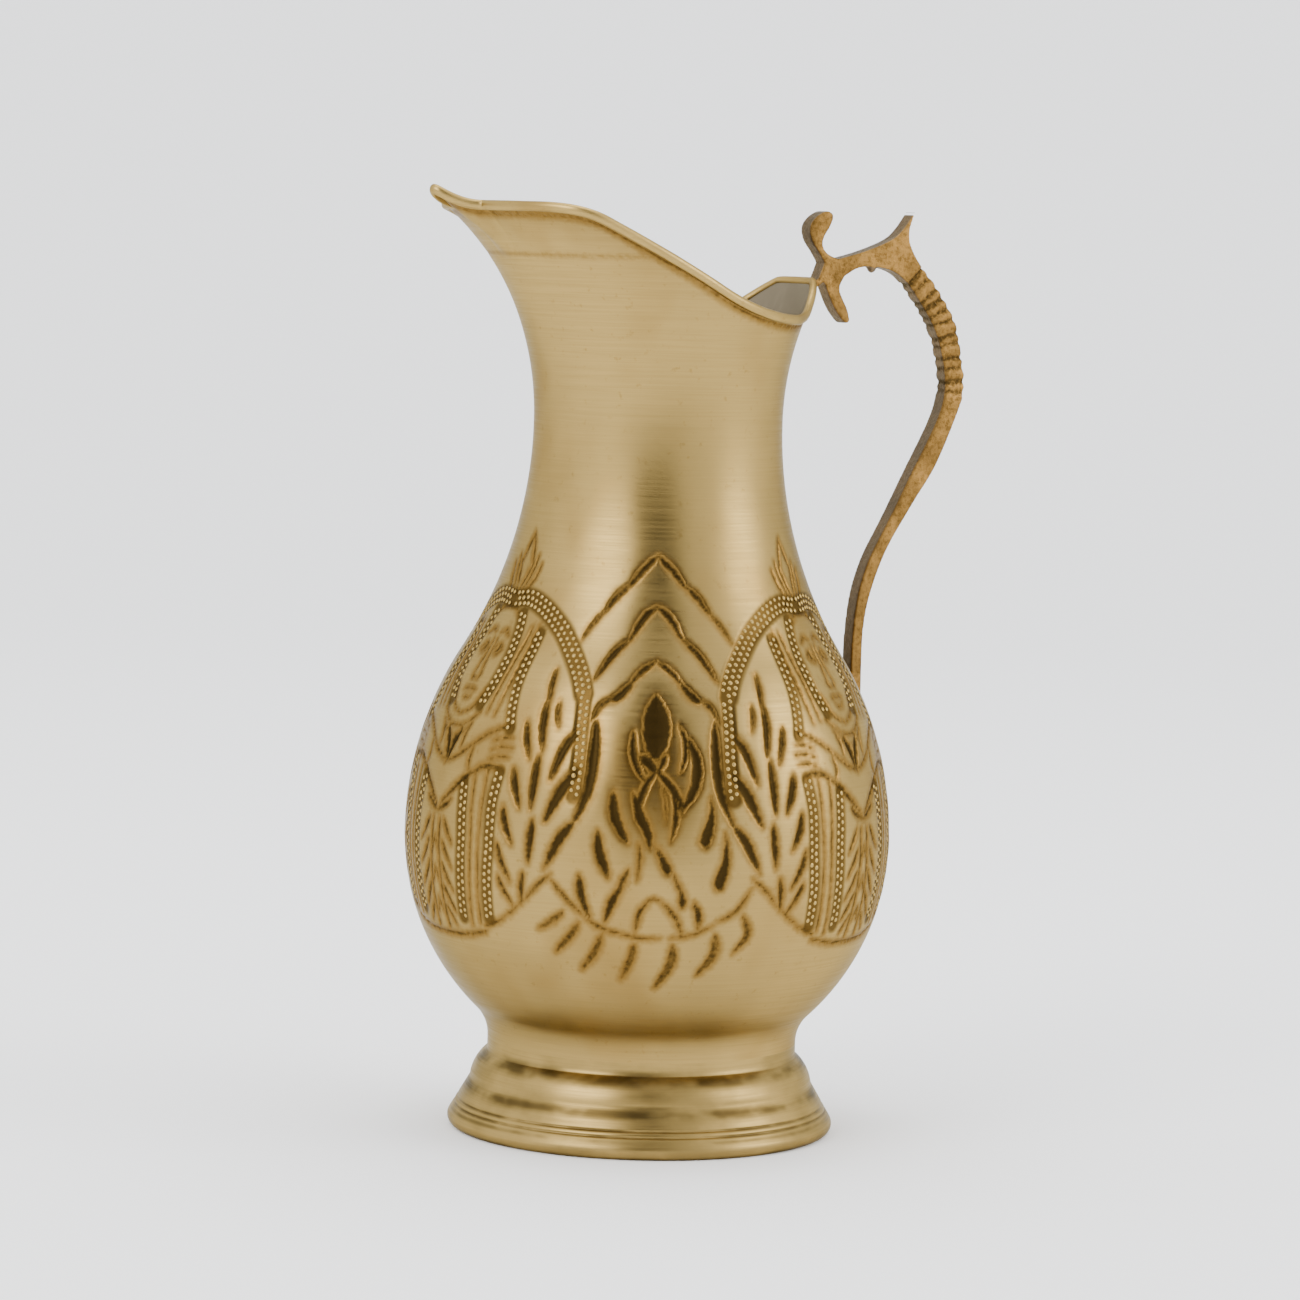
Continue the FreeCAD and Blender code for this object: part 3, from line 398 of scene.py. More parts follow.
def chased(wall, azimuth, height):
    """For places on the wall: gap to the nearest cut, its depth share, and gap to the nearest beaded band."""
    degrees = folded(azimuth)
    mirrored = np.abs(degrees)
    length = wall.length(height)
    reach = wall.radius(height) * math.pi / 180
    gap = np.full(degrees.shape, FAR)
    deep = np.zeros(degrees.shape)
    for cuts, places, lowest in ((FLAME_CUTS, degrees, -FAR), (SIDE_CUTS, mirrored, -FAR),
                                 (FRINGE_CUTS, degrees, FRINGE_LOWEST)):
        for cut in cuts:
            near, here = gap_to_run(wall, places, length, reach, cut)
            here = np.maximum(here, lowest)
            gap[near] = np.minimum(gap[near], here)
            inside = np.clip(-here / cut[0], 0, 1)
            share = min(1.0, 0.25 + cut[0] / 1.6)
            deep[near] = np.maximum(deep[near], (1 - (1 - inside) ** 2) * share)
    band = np.full(degrees.shape, FAR)
    for _, width, points in BEAD_BANDS:
        near, here = gap_to_run(wall, mirrored, length, reach, (width, "line", points))
        band[near] = np.minimum(band[near], here)
    return gap, deep, band


# ---------------------------------------------------------------- mesh helpers
SECTORS = 12
SAME_POINT = 1e-6


def spun(profile, steps, closed=True):
    """Full turn of a profile in millimetres about the upright axis, one sector spun and laid round."""
    bm = bmesh.new()
    verts = [bm.verts.new((radius * MM, 0, height * MM)) for radius, height in profile]
    ends = verts[1:] + verts[:1] if closed else verts[1:]
    edges = [bm.edges.new(pair) for pair in zip(verts, ends)]
    bmesh.ops.spin(bm, geom=verts + edges, cent=(0, 0, 0), axis=(0, 0, 1), dvec=(0, 0, 0),
                   angle=TURN / SECTORS, steps=steps // SECTORS, use_duplicate=False)
    sector = bm.verts[:] + bm.edges[:] + bm.faces[:]
    for place in range(1, SECTORS):
        made = bmesh.ops.duplicate(bm, geom=sector)
        moved = [item for item in made["geom"] if isinstance(item, bmesh.types.BMVert)]
        turn = Matrix.Rotation(TURN * place / SECTORS, 3, "Z")
        bmesh.ops.rotate(bm, cent=(0, 0, 0), matrix=turn, verts=moved)
    bmesh.ops.remove_doubles(bm, verts=bm.verts, dist=SAME_POINT)
    bmesh.ops.recalc_face_normals(bm, faces=bm.faces)
    return bm


def piece_from(bm, name, nodes, materials, angle=40):
    """Turns a bmesh into a finished piece that stands for CAD nodes."""
    mesh = bpy.data.meshes.new(name)
    bm.to_mesh(mesh)
    bm.free()
    if len(materials) > 1:
        inward_faces_second(mesh)
    soften(mesh, angle)
    return dress(bpy.data.objects.new(name, mesh), nodes, materials)


def soften(mesh, angle=40):
    """Smooth shading with sharp edges where faces meet steeply."""
    mesh.shade_smooth()
    mesh.set_sharp_from_angle(angle=math.radians(angle))


def inward_faces_second(mesh):
    """Gives the faces that look inwards the second finish."""
    centres = np.zeros(len(mesh.polygons) * 3)
    normals = np.zeros(len(mesh.polygons) * 3)
    mesh.polygons.foreach_get("center", centres)
    mesh.polygons.foreach_get("normal", normals)
    outward = (centres * normals).reshape(-1, 3)[:, :2].sum(1)
    mesh.polygons.foreach_set("material_index", (outward < 0).astype(np.int32))


def dress(piece, nodes, materials):
    bpy.context.collection.objects.link(piece)
    for material in materials:
        piece.data.materials.append(material)
    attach(piece, "root")
    if nodes:
        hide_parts(*nodes)
    return piece


def coordinates(mesh):
    spots = np.zeros(len(mesh.vertices) * 3)
    mesh.vertices.foreach_get("co", spots)
    return spots.reshape(-1, 3)


def move_to(mesh, spots):
    mesh.vertices.foreach_set("co", spots.ravel())
    mesh.update()


def note(mesh, name, values):
    """Stores one number per vertex for the finish to read."""
    attribute = mesh.attributes.new(name, "FLOAT", "POINT")
    attribute.data.foreach_set("value", np.asarray(values, np.float32))


def soft_noise(spots, scale, seed):
    """Smooth seeded unevenness between -1 and 1."""
    rng = np.random.default_rng(seed)
    total = np.zeros(len(spots))
    for _ in range(6):
        direction = rng.normal(size=3) * scale
        total += np.sin(spots @ direction + rng.uniform(0, TURN))
    return total / 6


# ---------------------------------------------------------------- finishes
class Finish:
    """One node material, built up a node at a time."""

    def __init__(self, name):
        self.material = bpy.data.materials.new(name)
        self.material.use_nodes = True
        self.nodes = self.material.node_tree.nodes
        self.links = self.material.node_tree.links
        self.shader = self.nodes["Principled BSDF"]
        self.shader.inputs["Metallic"].default_value = 1.0
        self.shader.inputs["Specular Tint"].default_value = (0.55, 0.55, 0.52, 1.0)

    def add(self, kind, **settings):
        node = self.nodes.new(kind)
        for name, value in settings.items():
            setattr(node, name, value)
        return node

    def join(self, source, target):
        self.links.new(source, target)

    def place(self, stretch):
        coords = self.add("ShaderNodeTexCoord")
        mapping = self.add("ShaderNodeMapping")
        mapping.inputs["Scale"].default_value = stretch
        self.join(coords.outputs["Object"], mapping.inputs["Vector"])
        return mapping.outputs["Vector"]

    def noise(self, stretch, scale, detail=4.0, rough=0.55):
        node = self.add("ShaderNodeTexNoise")
        node.inputs["Scale"].default_value = scale
        node.inputs["Detail"].default_value = detail
        node.inputs["Roughness"].default_value = rough
        self.join(self.place(stretch), node.inputs["Vector"])
        return node.outputs["Fac"]

    def attribute(self, name):
        return self.add("ShaderNodeAttribute", attribute_name=name).outputs["Fac"]

    def ramp(self, source, low, high, to_low=0.0, to_high=1.0, smooth=True):
        node = self.add("ShaderNodeMapRange")
        node.interpolation_type = "SMOOTHSTEP" if smooth else "LINEAR"
        node.inputs["From Min"].default_value = low
        node.inputs["From Max"].default_value = high
        node.inputs["To Min"].default_value = to_low
        node.inputs["To Max"].default_value = to_high
        self.join(source, node.inputs["Value"])
        return node.outputs["Result"]

    def maths(self, operation, one, two):
        node = self.add("ShaderNodeMath", operation=operation)
        for socket, value in zip(node.inputs, (one, two)):
            if isinstance(value, (int, float)):
                socket.default_value = value
            else:
                self.join(value, socket)
        return node.outputs[0]

    def mix(self, share, one, two, blend="MIX"):
        node = self.add("ShaderNodeMix", data_type="RGBA", blend_type=blend)
        for socket, value in ((node.inputs[0], share), (node.inputs[6], one), (node.inputs[7], two)):
            if isinstance(value, (int, float)):
                socket.default_value = value
            elif isinstance(value, bpy.types.NodeSocket):
                self.join(value, socket)
            else:
                socket.default_value = (*value[:3], 1.0)
        return node.outputs[2]

    def bump(self, source, strength, distance, under=None):
        node = self.add("ShaderNodeBump")
        node.inputs["Strength"].default_value = strength
        node.inputs["Distance"].default_value = distance
        self.join(source, node.inputs["Height"])
        if under is not None:
            self.join(under, node.inputs["Normal"])
        return node.outputs["Normal"]

    def finish(self, colour, rough, normal=None):
        self.join(colour, self.shader.inputs["Base Color"])
        self.join(rough, self.shader.inputs["Roughness"])
        if normal is not None:
            self.join(normal, self.shader.inputs["Normal"])
        return self.material


def shaded(colour, factor):
    return tuple(min(1.0, part * factor) for part in colour)


def brushed_brass(name, colour, finish, cuts=False):
    """Rubbed brass with fine lines round the axis, cloudy tone, and patina where a cut is noted, plus painted
    shade over the middle of each flame panel and, on the mouth, a dark line under the wire that is partly
    painted shadow and partly patina.
    """
    work = Finish(name)
    clouds = work.noise((1, 1, 0.6), 14.0, 3.0)
    lines = work.noise((1, 1, 60), 30.0, 5.0, 0.7)
    specks = work.noise((1, 1, 1), 420.0, 3.0)
    drift = work.noise((1, 1, 0.7), 31.0, 2.0)
    tone = work.mix(work.ramp(clouds, 0.35, 0.68), shaded(colour, 0.84), shaded(colour, 1.12))
    tone = work.mix(work.ramp(drift, 0.5, 0.72, 0.0, 0.4), tone, finish.halo_colour)
    tone = work.mix(work.ramp(lines, 0.3, 0.7, 0.0, 0.35), tone, shaded(colour, 0.7))
    tone = work.mix(work.ramp(specks, 0.6, 0.78, 0.0, 0.35), tone, shaded(finish.halo_colour, 0.8))
    rough = work.maths("ADD", work.ramp(lines, 0.2, 0.8, -0.06, 0.08),
                       work.ramp(clouds, 0.3, 0.7, finish.gloss - 0.05, finish.gloss + 0.06))
    normal = work.bump(drift, 0.35, 0.0012)
    normal = work.bump(lines, 0.10, 0.0002, normal)
    if cuts:
        gap = work.attribute("cut_and_shade_line_gap")
        wobble = work.ramp(work.noise((1, 1, 1), 620.0, 3.0), 0.2, 0.8, -0.3, 0.3)
        edge = work.maths("ADD", gap, wobble)
        band = work.attribute("band_gap")
        # Painted shade: the middle of each flame panel is darkened where a dark reflection falls.
        painted_shade = work.ramp(work.attribute("painted_shade"), 0.1, 0.9, 0.0, 0.62)
        tone = work.mix(painted_shade, tone, shaded(finish.halo_colour, 0.6))
        # Amber stain beside the cuts; on the mouth it also edges the line under the wire, which is partly
        # painted shadow.
        stain_and_shade = work.ramp(edge, -0.2, 2.1, 0.85, 0.0)
        tone = work.mix(stain_and_shade, tone, shaded(finish.halo_colour, 0.9))
        ground = work.ramp(band, -0.6, 1.1, 0.9, 0.0)
        tone = work.mix(ground, tone, shaded(finish.halo_colour, 0.36))
        # Patina in the cuts; on the mouth it also darkens the line under the wire, which is partly painted
        # shadow.
        dark = work.ramp(edge, -0.85, 0.22, 0.97, 0.0)
        tone = work.mix(dark, tone, finish.patina_colour)
        rough = work.maths("ADD", rough, work.ramp(edge, -0.4, 0.3, 0.14, 0.0))
        normal = work.bump(work.ramp(edge, -0.9, 0.4), 0.5, 0.0004, normal)
    return work.finish(tone, rough, normal)


def bead_brass(name, finish):
    """Rubbed tops of the punched beads."""
    work = Finish(name)
    top = work.attribute("bead_top")
    tone = work.mix(work.ramp(top, 0.05, 0.6), shaded(finish.halo_colour, 0.45),
                    shaded(finish.body_colour, 1.02))
    return work.finish(tone, work.ramp(top, 0.0, 1.0, 0.55, 0.34))


def tarnished_brass(name, colour, finish):
    """Dull grey inside of the mouth, with streaks running down."""
    work = Finish(name)
    clouds = work.noise((1, 1, 0.4), 45.0, 4.0)
    streaks = work.noise((60, 60, 3), 3.0, 3.0)
    tone = work.mix(work.ramp(clouds, 0.3, 0.75), shaded(colour, 0.8), shaded(colour, 1.1))
    tone = work.mix(work.ramp(streaks, 0.45, 0.75, 0.0, 0.3), tone, shaded(colour, 1.35))
    return work.finish(tone, work.ramp(clouds, 0.2, 0.8, 0.42, 0.6))


# Painted shade: dark grey laid on the narrow edge faces of the handle, where the side facing the body lies in
# shadow.
EDGE_PAINTED_SHADE = (0.095, 0.082, 0.062)


def cast_brass(name, colour, finish):
    """Browner cast brass with dark patina in its grooves and pits, and painted shade on its narrow edge
    faces.
    """
    work = Finish(name)
    clouds = work.noise((1, 1, 1), 70.0, 4.0)
    pits = work.noise((1, 1, 1), 900.0, 5.0, 0.7)
    broken = work.maths("MULTIPLY", work.attribute("groove"), work.ramp(pits, 0.3, 0.62, 0.45, 1.1))
    tone = work.mix(work.ramp(clouds, 0.36, 0.66), shaded(colour, 0.62), shaded(colour, 1.18))
    tone = work.mix(work.ramp(pits, 0.4, 0.75, 0.0, 0.75), tone, shaded(finish.halo_colour, 0.3))
    # Painted shade on the narrow edge faces.
    tone = work.mix(work.ramp(work.attribute("edge_painted_shade"), 0.2, 0.9, 0.0, 0.72), tone, EDGE_PAINTED_SHADE)
    tone = work.mix(work.ramp(broken, 0.1, 0.85, 0.0, 0.88), tone, finish.patina_colour)
    rough = work.ramp(pits, 0.3, 0.7, 0.3, 0.5)
    normal = work.bump(clouds, 0.3, 0.0012)
    normal = work.bump(pits, 0.45, 0.0005, normal)
    return work.finish(tone, rough, normal)


def foot_brass(name, colour, finish):
    """Rubbed brass of the foot, with dark blotches in the creases."""
    work = Finish(name)
    clouds = work.noise((1, 1, 1.5), 40.0, 4.0)
    lines = work.noise((1, 1, 60), 30.0, 5.0, 0.7)
    crease = work.attribute("crease")
    patches = work.ramp(work.noise((1, 1, 2), 45.0, 3.0), 0.35, 0.66, 0.12, 1.0)
    blotch = work.maths("MULTIPLY", crease, patches)
    tone = work.mix(work.ramp(clouds, 0.35, 0.68), shaded(colour, 0.72), shaded(colour, 1.1))
    tone = work.mix(work.ramp(lines, 0.3, 0.7, 0.0, 0.35), tone, shaded(colour, 0.65))
    tone = work.mix(work.ramp(blotch, 0.02, 1.0, 0.0, 0.85), tone, shaded(finish.patina_colour, 1.4))
    rough = work.ramp(lines, 0.2, 0.8, 0.28, 0.44)
    return work.finish(tone, rough, work.bump(lines, 0.1, 0.0002))


# ---------------------------------------------------------------- body
PLAIN_ABOVE = 176.0
ROW_STEP = 0.92
LOWER_ROW_STEP = ROW_STEP * 0.9
PLAIN_ROW_STEP = 3.0
LOWER_INNER_STEP = 9.0
UPPER_INNER_STEP = 11.0
INNER_START = 4.0
SKIN_TOLERANCE = 0.05
PUFF_DEPTH, PUFF_REACH = 0.15, 1.4
BAND_SHOULDER = 0.5
DENT_DEPTH = 0.03
DENT_SCALE = 90.0
DENT_FADE, BELLY_FADE = 6.0, 3.0
# Painted shade, a dark reflection laid over the middle of each flame panel: its height in mm, its spread in
# degrees and its spread in height in mm.
SHADE_PATCH_HEIGHT, SHADE_PATCH_WIDE, SHADE_PATCH_TALL = 107.0, 11.5, 22.0
# Sections in millimetres as (radius, height): bottom from inside and outside, and the lap below
# the belly's seam.
FLOOR_INSIDE = [(43.2, 26.0), (43.2, 24.0), (40.2, 21.9), (20.0, 21.8), (0.0, 21.8)]
FLOOR_OUTSIDE = [(0.0, 21.0), (20.0, 21.0), (41.0, 21.0), (43.4, 22.2), (44.0, 24.0), (44.0, 26.0)]
LAP = [(68.83, 86.0), (68.72, 82.0), (69.53, 82.0), (69.64, 86.0)]


def rows_between(wall, low, high, step):
    """Heights evenly spread along the sheet."""
    begin, end = wall.length(low), wall.length(high)
    count = max(2, int(round((end - begin) / step)) + 1)
    return [float(wall.height_at(value)) for value in np.linspace(begin, end, count)]


def inside_of(wall, height, inset):
    """Point of the wall moved inwards by the sheet's thickness."""
    across, up = wall.outward(height)
    return float(wall.radius(height) - inset * across), float(height - inset * up)


def strike(mesh, wall, sizes):
    """Sets the chased cuts and the beaded grounds into the outer skin, and notes where they are."""
    spots = coordinates(mesh)
    radius = np.hypot(spots[:, 0], spots[:, 1]) / MM
    height = spots[:, 2] / MM
    azimuth = np.arctan2(spots[:, 1], spots[:, 0])
    skin = np.abs(radius - wall.radius(height)) < SKIN_TOLERANCE
    gap = np.full(len(spots), FAR)
    deep = np.zeros(len(spots))
    band = np.full(len(spots), FAR)
    gap[skin], deep[skin], band[skin] = chased(wall, azimuth[skin], height[skin])
    down = deep * sizes.cut_depth / MM
    puff = PUFF_DEPTH * np.exp(-np.clip(gap, 0, None) / PUFF_REACH)
    ground = sizes.band_depth / MM * np.clip(-band / BAND_SHOULDER, 0, 1)
    down = np.maximum(np.maximum(down, ground), 0) + np.where(skin, puff, 0) * (gap < FAR)
    down = np.where(skin, down, 0)
    dents = DENT_DEPTH * (1 + soft_noise(spots, DENT_SCALE, 4)) * skin
    dents *= np.clip((height - WAIST_HEIGHT) / DENT_FADE, 0, 1)
    dents *= np.clip(np.abs(height - BELLY_HEIGHT) / BELLY_FADE, 0, 1)
    down += dents * np.clip((NECK_HEIGHT - height) / DENT_FADE, 0, 1)
    across, up = wall.outward(height)
    spots[:, 0] -= down * across * np.cos(azimuth) * MM
    spots[:, 1] -= down * across * np.sin(azimuth) * MM
    spots[:, 2] -= down * up * MM
    move_to(mesh, spots)
    note(mesh, "cut_and_shade_line_gap", gap)
    note(mesh, "band_gap", band)
    # Painted shade over the middle of each flame panel, noted for the finish.
    painted_shade = np.exp(-(folded(azimuth) / SHADE_PATCH_WIDE) ** 2 - ((height - SHADE_PATCH_HEIGHT) / SHADE_PATCH_TALL) ** 2)
    note(mesh, "painted_shade", painted_shade)


class JUG_OT_body(Operator):
    """Lower and upper bowl with their chased panels"""
    bl_idname = "jug.body"
    bl_label = "Body"

    def execute(self, context):
        sizes, finish = context.scene.jug_sizes, context.scene.jug_finish
        wall = Wall(sizes)
        sheet = sizes.wall / MM
        skin = brushed_brass("body_brass", finish.body_colour, finish, cuts=True)
        inside = tarnished_brass("body_inside", finish.inside_colour, finish)

        rows = rows_between(wall, WAIST_HEIGHT, BELLY_HEIGHT, LOWER_ROW_STEP)
        inner_rows = rows_between(wall, WAIST_HEIGHT + INNER_START, BELLY_HEIGHT, LOWER_INNER_STEP)
        outer = [(float(wall.radius(h)), h) for h in rows]
        inner = [inside_of(wall, h, sheet) for h in inner_rows]
        profile = FLOOR_OUTSIDE + outer + inner[::-1] + FLOOR_INSIDE
        lower = piece_from(spun(profile, sizes.columns, closed=False), "lower_bowl_skin",
                           ["lower_bowl"], [skin, inside])

        rows = rows_between(wall, BELLY_HEIGHT, PLAIN_ABOVE, ROW_STEP)
        rows += rows_between(wall, PLAIN_ABOVE, NECK_HEIGHT, PLAIN_ROW_STEP)[1:]
        inner_rows = rows_between(wall, BELLY_HEIGHT + INNER_START, NECK_HEIGHT, UPPER_INNER_STEP)
        outer = [(float(wall.radius(h)), h) for h in rows]
        inner = [inside_of(wall, h, sheet) for h in inner_rows]
        inner[-1] = (inner[-1][0], NECK_HEIGHT)
        profile = outer + inner[::-1] + LAP
        upper = piece_from(spun(profile, sizes.columns), "upper_bowl_skin",
                           ["upper_bowl"], [skin, inside])
        for piece in (lower, upper):
            strike(piece.data, wall, sizes)
        return {"FINISHED"}


# ---------------------------------------------------------------- beads
BEAD_SIDES = 9
ROW_SPACING = 0.86
FIRST_BEAD = 0.3
BEAD_SCATTER = 0.07
LAST_DEGREE = 59.4
BEAD_SINK = 0.08
BEAD_TOP = 0.52
BEAD_SHARP = 80


class JUG_OT_beads(Operator):
    """Ring-punched beads standing in the veil and border bands"""
    bl_idname = "jug.beads"
    bl_label = "Beads"

    def execute(self, context):
        sizes, finish = context.scene.jug_sizes, context.scene.jug_finish
        wall = Wall(sizes)
        bm = bmesh.new()
        top = bm.verts.layers.float.new("bead_top")
        rng = np.random.default_rng(11)
        for degrees, height in bead_places(wall, sizes, rng):
            for panel in range(PANELS):
                for side in (1, -1):
                    turned = FLAME_AZIMUTH + 360.0 / PANELS * panel + side * degrees
                    set_bead(bm, top, wall, sizes, math.radians(turned), height, rng)
        piece_from(bm, "punched_beads", [], [bead_brass("bead_brass", finish)], BEAD_SHARP)
        return {"FINISHED"}


def bead_places(wall, sizes, rng):
    """Degrees and heights of the beads of one half panel."""
    pitch = sizes.bead_pitch / MM
    places = []
    for rows, _, points in BEAD_BANDS:
        run = np.array(eased(points, 8))
        lengths = wall.length(run[:, 1])
        scale = wall.radius(run[:, 1]) * math.pi / 180
        steps = np.hypot(np.diff(run[:, 0]) * (scale[1:] + scale[:-1]) / 2, np.diff(lengths))
        along = np.concatenate([[0], np.cumsum(steps)])
        for row in range(rows):
            offset = (row - (rows - 1) / 2) * pitch * ROW_SPACING
            begin = pitch * (0.5 if row % 2 else 0.0) + FIRST_BEAD
            for spot in np.arange(begin, along[-1], pitch):
                degree = np.interp(spot, along, run[:, 0])
                length = np.interp(spot, along, lengths)
                span = [spot - 0.5, spot + 0.5]
                here_scale = float(wall.radius(wall.height_at(length))) * math.pi / 180
                across = float(np.diff(np.interp(span, along, run[:, 0]))[0]) * here_scale
                up = float(np.diff(np.interp(span, along, lengths))[0])
                size = math.hypot(across, up) or 1.0
                degree += (offset * up / size + rng.normal(0, BEAD_SCATTER)) / here_scale
                length += -offset * across / size + rng.normal(0, BEAD_SCATTER)
                if degree < LAST_DEGREE:
                    places.append((float(degree), float(wall.height_at(length))))
    return places


def set_bead(bm, layer, wall, sizes, azimuth, height, rng):
    """One low round bead, tapered to a flat top, standing on the set-down ground."""
    across, up = wall.outward(height)
    base = float(wall.radius(height)) - sizes.band_depth / MM - BEAD_SINK
    outward = Vector((across * math.cos(azimuth), across * math.sin(azimuth), up))
    middle = Vector((base * math.cos(azimuth), base * math.sin(azimuth), height)) * MM
    turn = outward.to_track_quat("Z", "Y").to_matrix().to_4x4()
    size = sizes.bead_radius * rng.uniform(0.88, 1.08)
    rise = sizes.band_depth * rng.uniform(0.85, 1.1)
    made = bmesh.ops.create_cone(bm, cap_ends=True, cap_tris=False, segments=BEAD_SIDES,
                                 radius1=size, radius2=size * BEAD_TOP, depth=rise,
                                 matrix=Matrix.Translation(middle + outward * rise / 2) @ turn)
    for vert in made["verts"]:
        vert[layer] = max(0.0, (vert.co - middle).dot(outward) / rise)


# ---------------------------------------------------------------- mouth
LIP_HEIGHT = 267.3
LOW_HEIGHT = 237.1
TAB_HEIGHT = 247.7
RIM_CORNERS = [(-140, LIP_HEIGHT), (-49, LIP_HEIGHT), (10, LOW_HEIGHT), (34.6, LOW_HEIGHT),
               (45.4, TAB_HEIGHT), (140, TAB_HEIGHT)]
RIM_BENDS = [33.0, 72.0, 17.0, 1.5]
BEAK_REACH = 11.6
BEAK_RISE = 4.1
BEAK_HALF_ANGLE = 7.0
BEAK_FROM = 0.72
NECK_RING = 253.5
# Dark line under the wire, partly painted shadow of the wire and partly patina: its distance below the edge
# in mm.
WIRE_SHADE_AND_PATINA_LINE = 2.3
WIRE_DROP = 0.35
WIRE_TALL = 1.3
WIRE_SIDES, WIRE_STEPS, WIRE_LOOP = 14, 900, 80.0
WIRE_UNEVEN = 0.03
LOOK_AHEAD = 0.004
# The mouth is spun as a flat double ring first: the radius tells outer from inner skin.
OUTER_RING, INNER_RING, BETWEEN_RINGS = 100, 50, 75
OUTER_ROWS, INNER_ROWS = 46, 30
EDGE_TUCK, TUCK_FROM = 0.012, 0.95
RING_DEPTH, RING_WIDTH = 0.12, 0.35
RING_FAINTNESS = 1.1
LINE_HALF_WIDTH = 0.45


def rim_side_view():
    """Height of the rim over the distance along the jug, corners rounded."""
    reach, height = [RIM_CORNERS[0][0]], [RIM_CORNERS[0][1]]
    for before, corner, after, bend in zip(RIM_CORNERS, RIM_CORNERS[1:], RIM_CORNERS[2:], RIM_BENDS):
        arrive = math.atan2(corner[1] - before[1], corner[0] - before[0])
        leave = math.atan2(after[1] - corner[1], after[0] - corner[0])
        cut = bend * math.tan(abs(leave - arrive) / 2)
        side = math.copysign(math.pi / 2, leave - arrive)
        start = Vector((corner[0] - cut * math.cos(arrive), corner[1] - cut * math.sin(arrive)))
        centre = start + bend * Vector((math.cos(arrive + side), math.sin(arrive + side)))
        for share in np.linspace(0, 1, 17):
            angle = arrive - side + (leave - arrive) * share
            reach.append(centre.x + bend * math.cos(angle))
            height.append(centre.y + bend * math.sin(angle))
    return reach + [RIM_CORNERS[-1][0]], height + [RIM_CORNERS[-1][1]]


def swell(azimuth):
    """How far the beak is drawn out, from 0 to 1."""
    from_spout = np.abs(np.degrees(np.arctan2(np.sin(azimuth - math.pi), np.cos(azimuth - math.pi))))
    share = np.clip(from_spout / BEAK_HALF_ANGLE, 0, 1)
    return np.cos(math.pi / 2 * share) ** 2


def rim_heights(wall, sheet, azimuth):
    """Height at which the middle of the sheet meets the rim's side view."""
    reach, level = rim_side_view()
    low = np.full(azimuth.shape, NECK_HEIGHT)
    high = np.full(azimuth.shape, LIP_TOP)
    for _ in range(40):
        middle = (low + high) / 2
        across, up = wall.outward(middle)
        along = (wall.radius(middle) - sheet / 2 * across) * np.cos(azimuth)
        below = middle - sheet / 2 * up < np.interp(along, reach, level)
        low = np.where(below, middle, low)
        high = np.where(below, high, middle)
    return low


def mouth_spots(wall, sheet, azimuth, share, inset):
    """Places on the mouth sheet: share runs from the neck to the rim, inset from the outer face."""
    top = rim_heights(wall, sheet, azimuth)
    height = NECK_HEIGHT + share * (top - NECK_HEIGHT)
    across, up = wall.outward(height)
    radius = wall.radius(height) - inset * across
    level = height - inset * up
    lift = np.clip((share - BEAK_FROM) / (1 - BEAK_FROM), 0, 1) ** 2
    drawn = swell(azimuth) * lift
    radius = radius + BEAK_REACH * drawn
    level = level + BEAK_RISE * drawn ** 2
    return np.stack([radius * np.cos(azimuth), radius * np.sin(azimuth), level], 1)


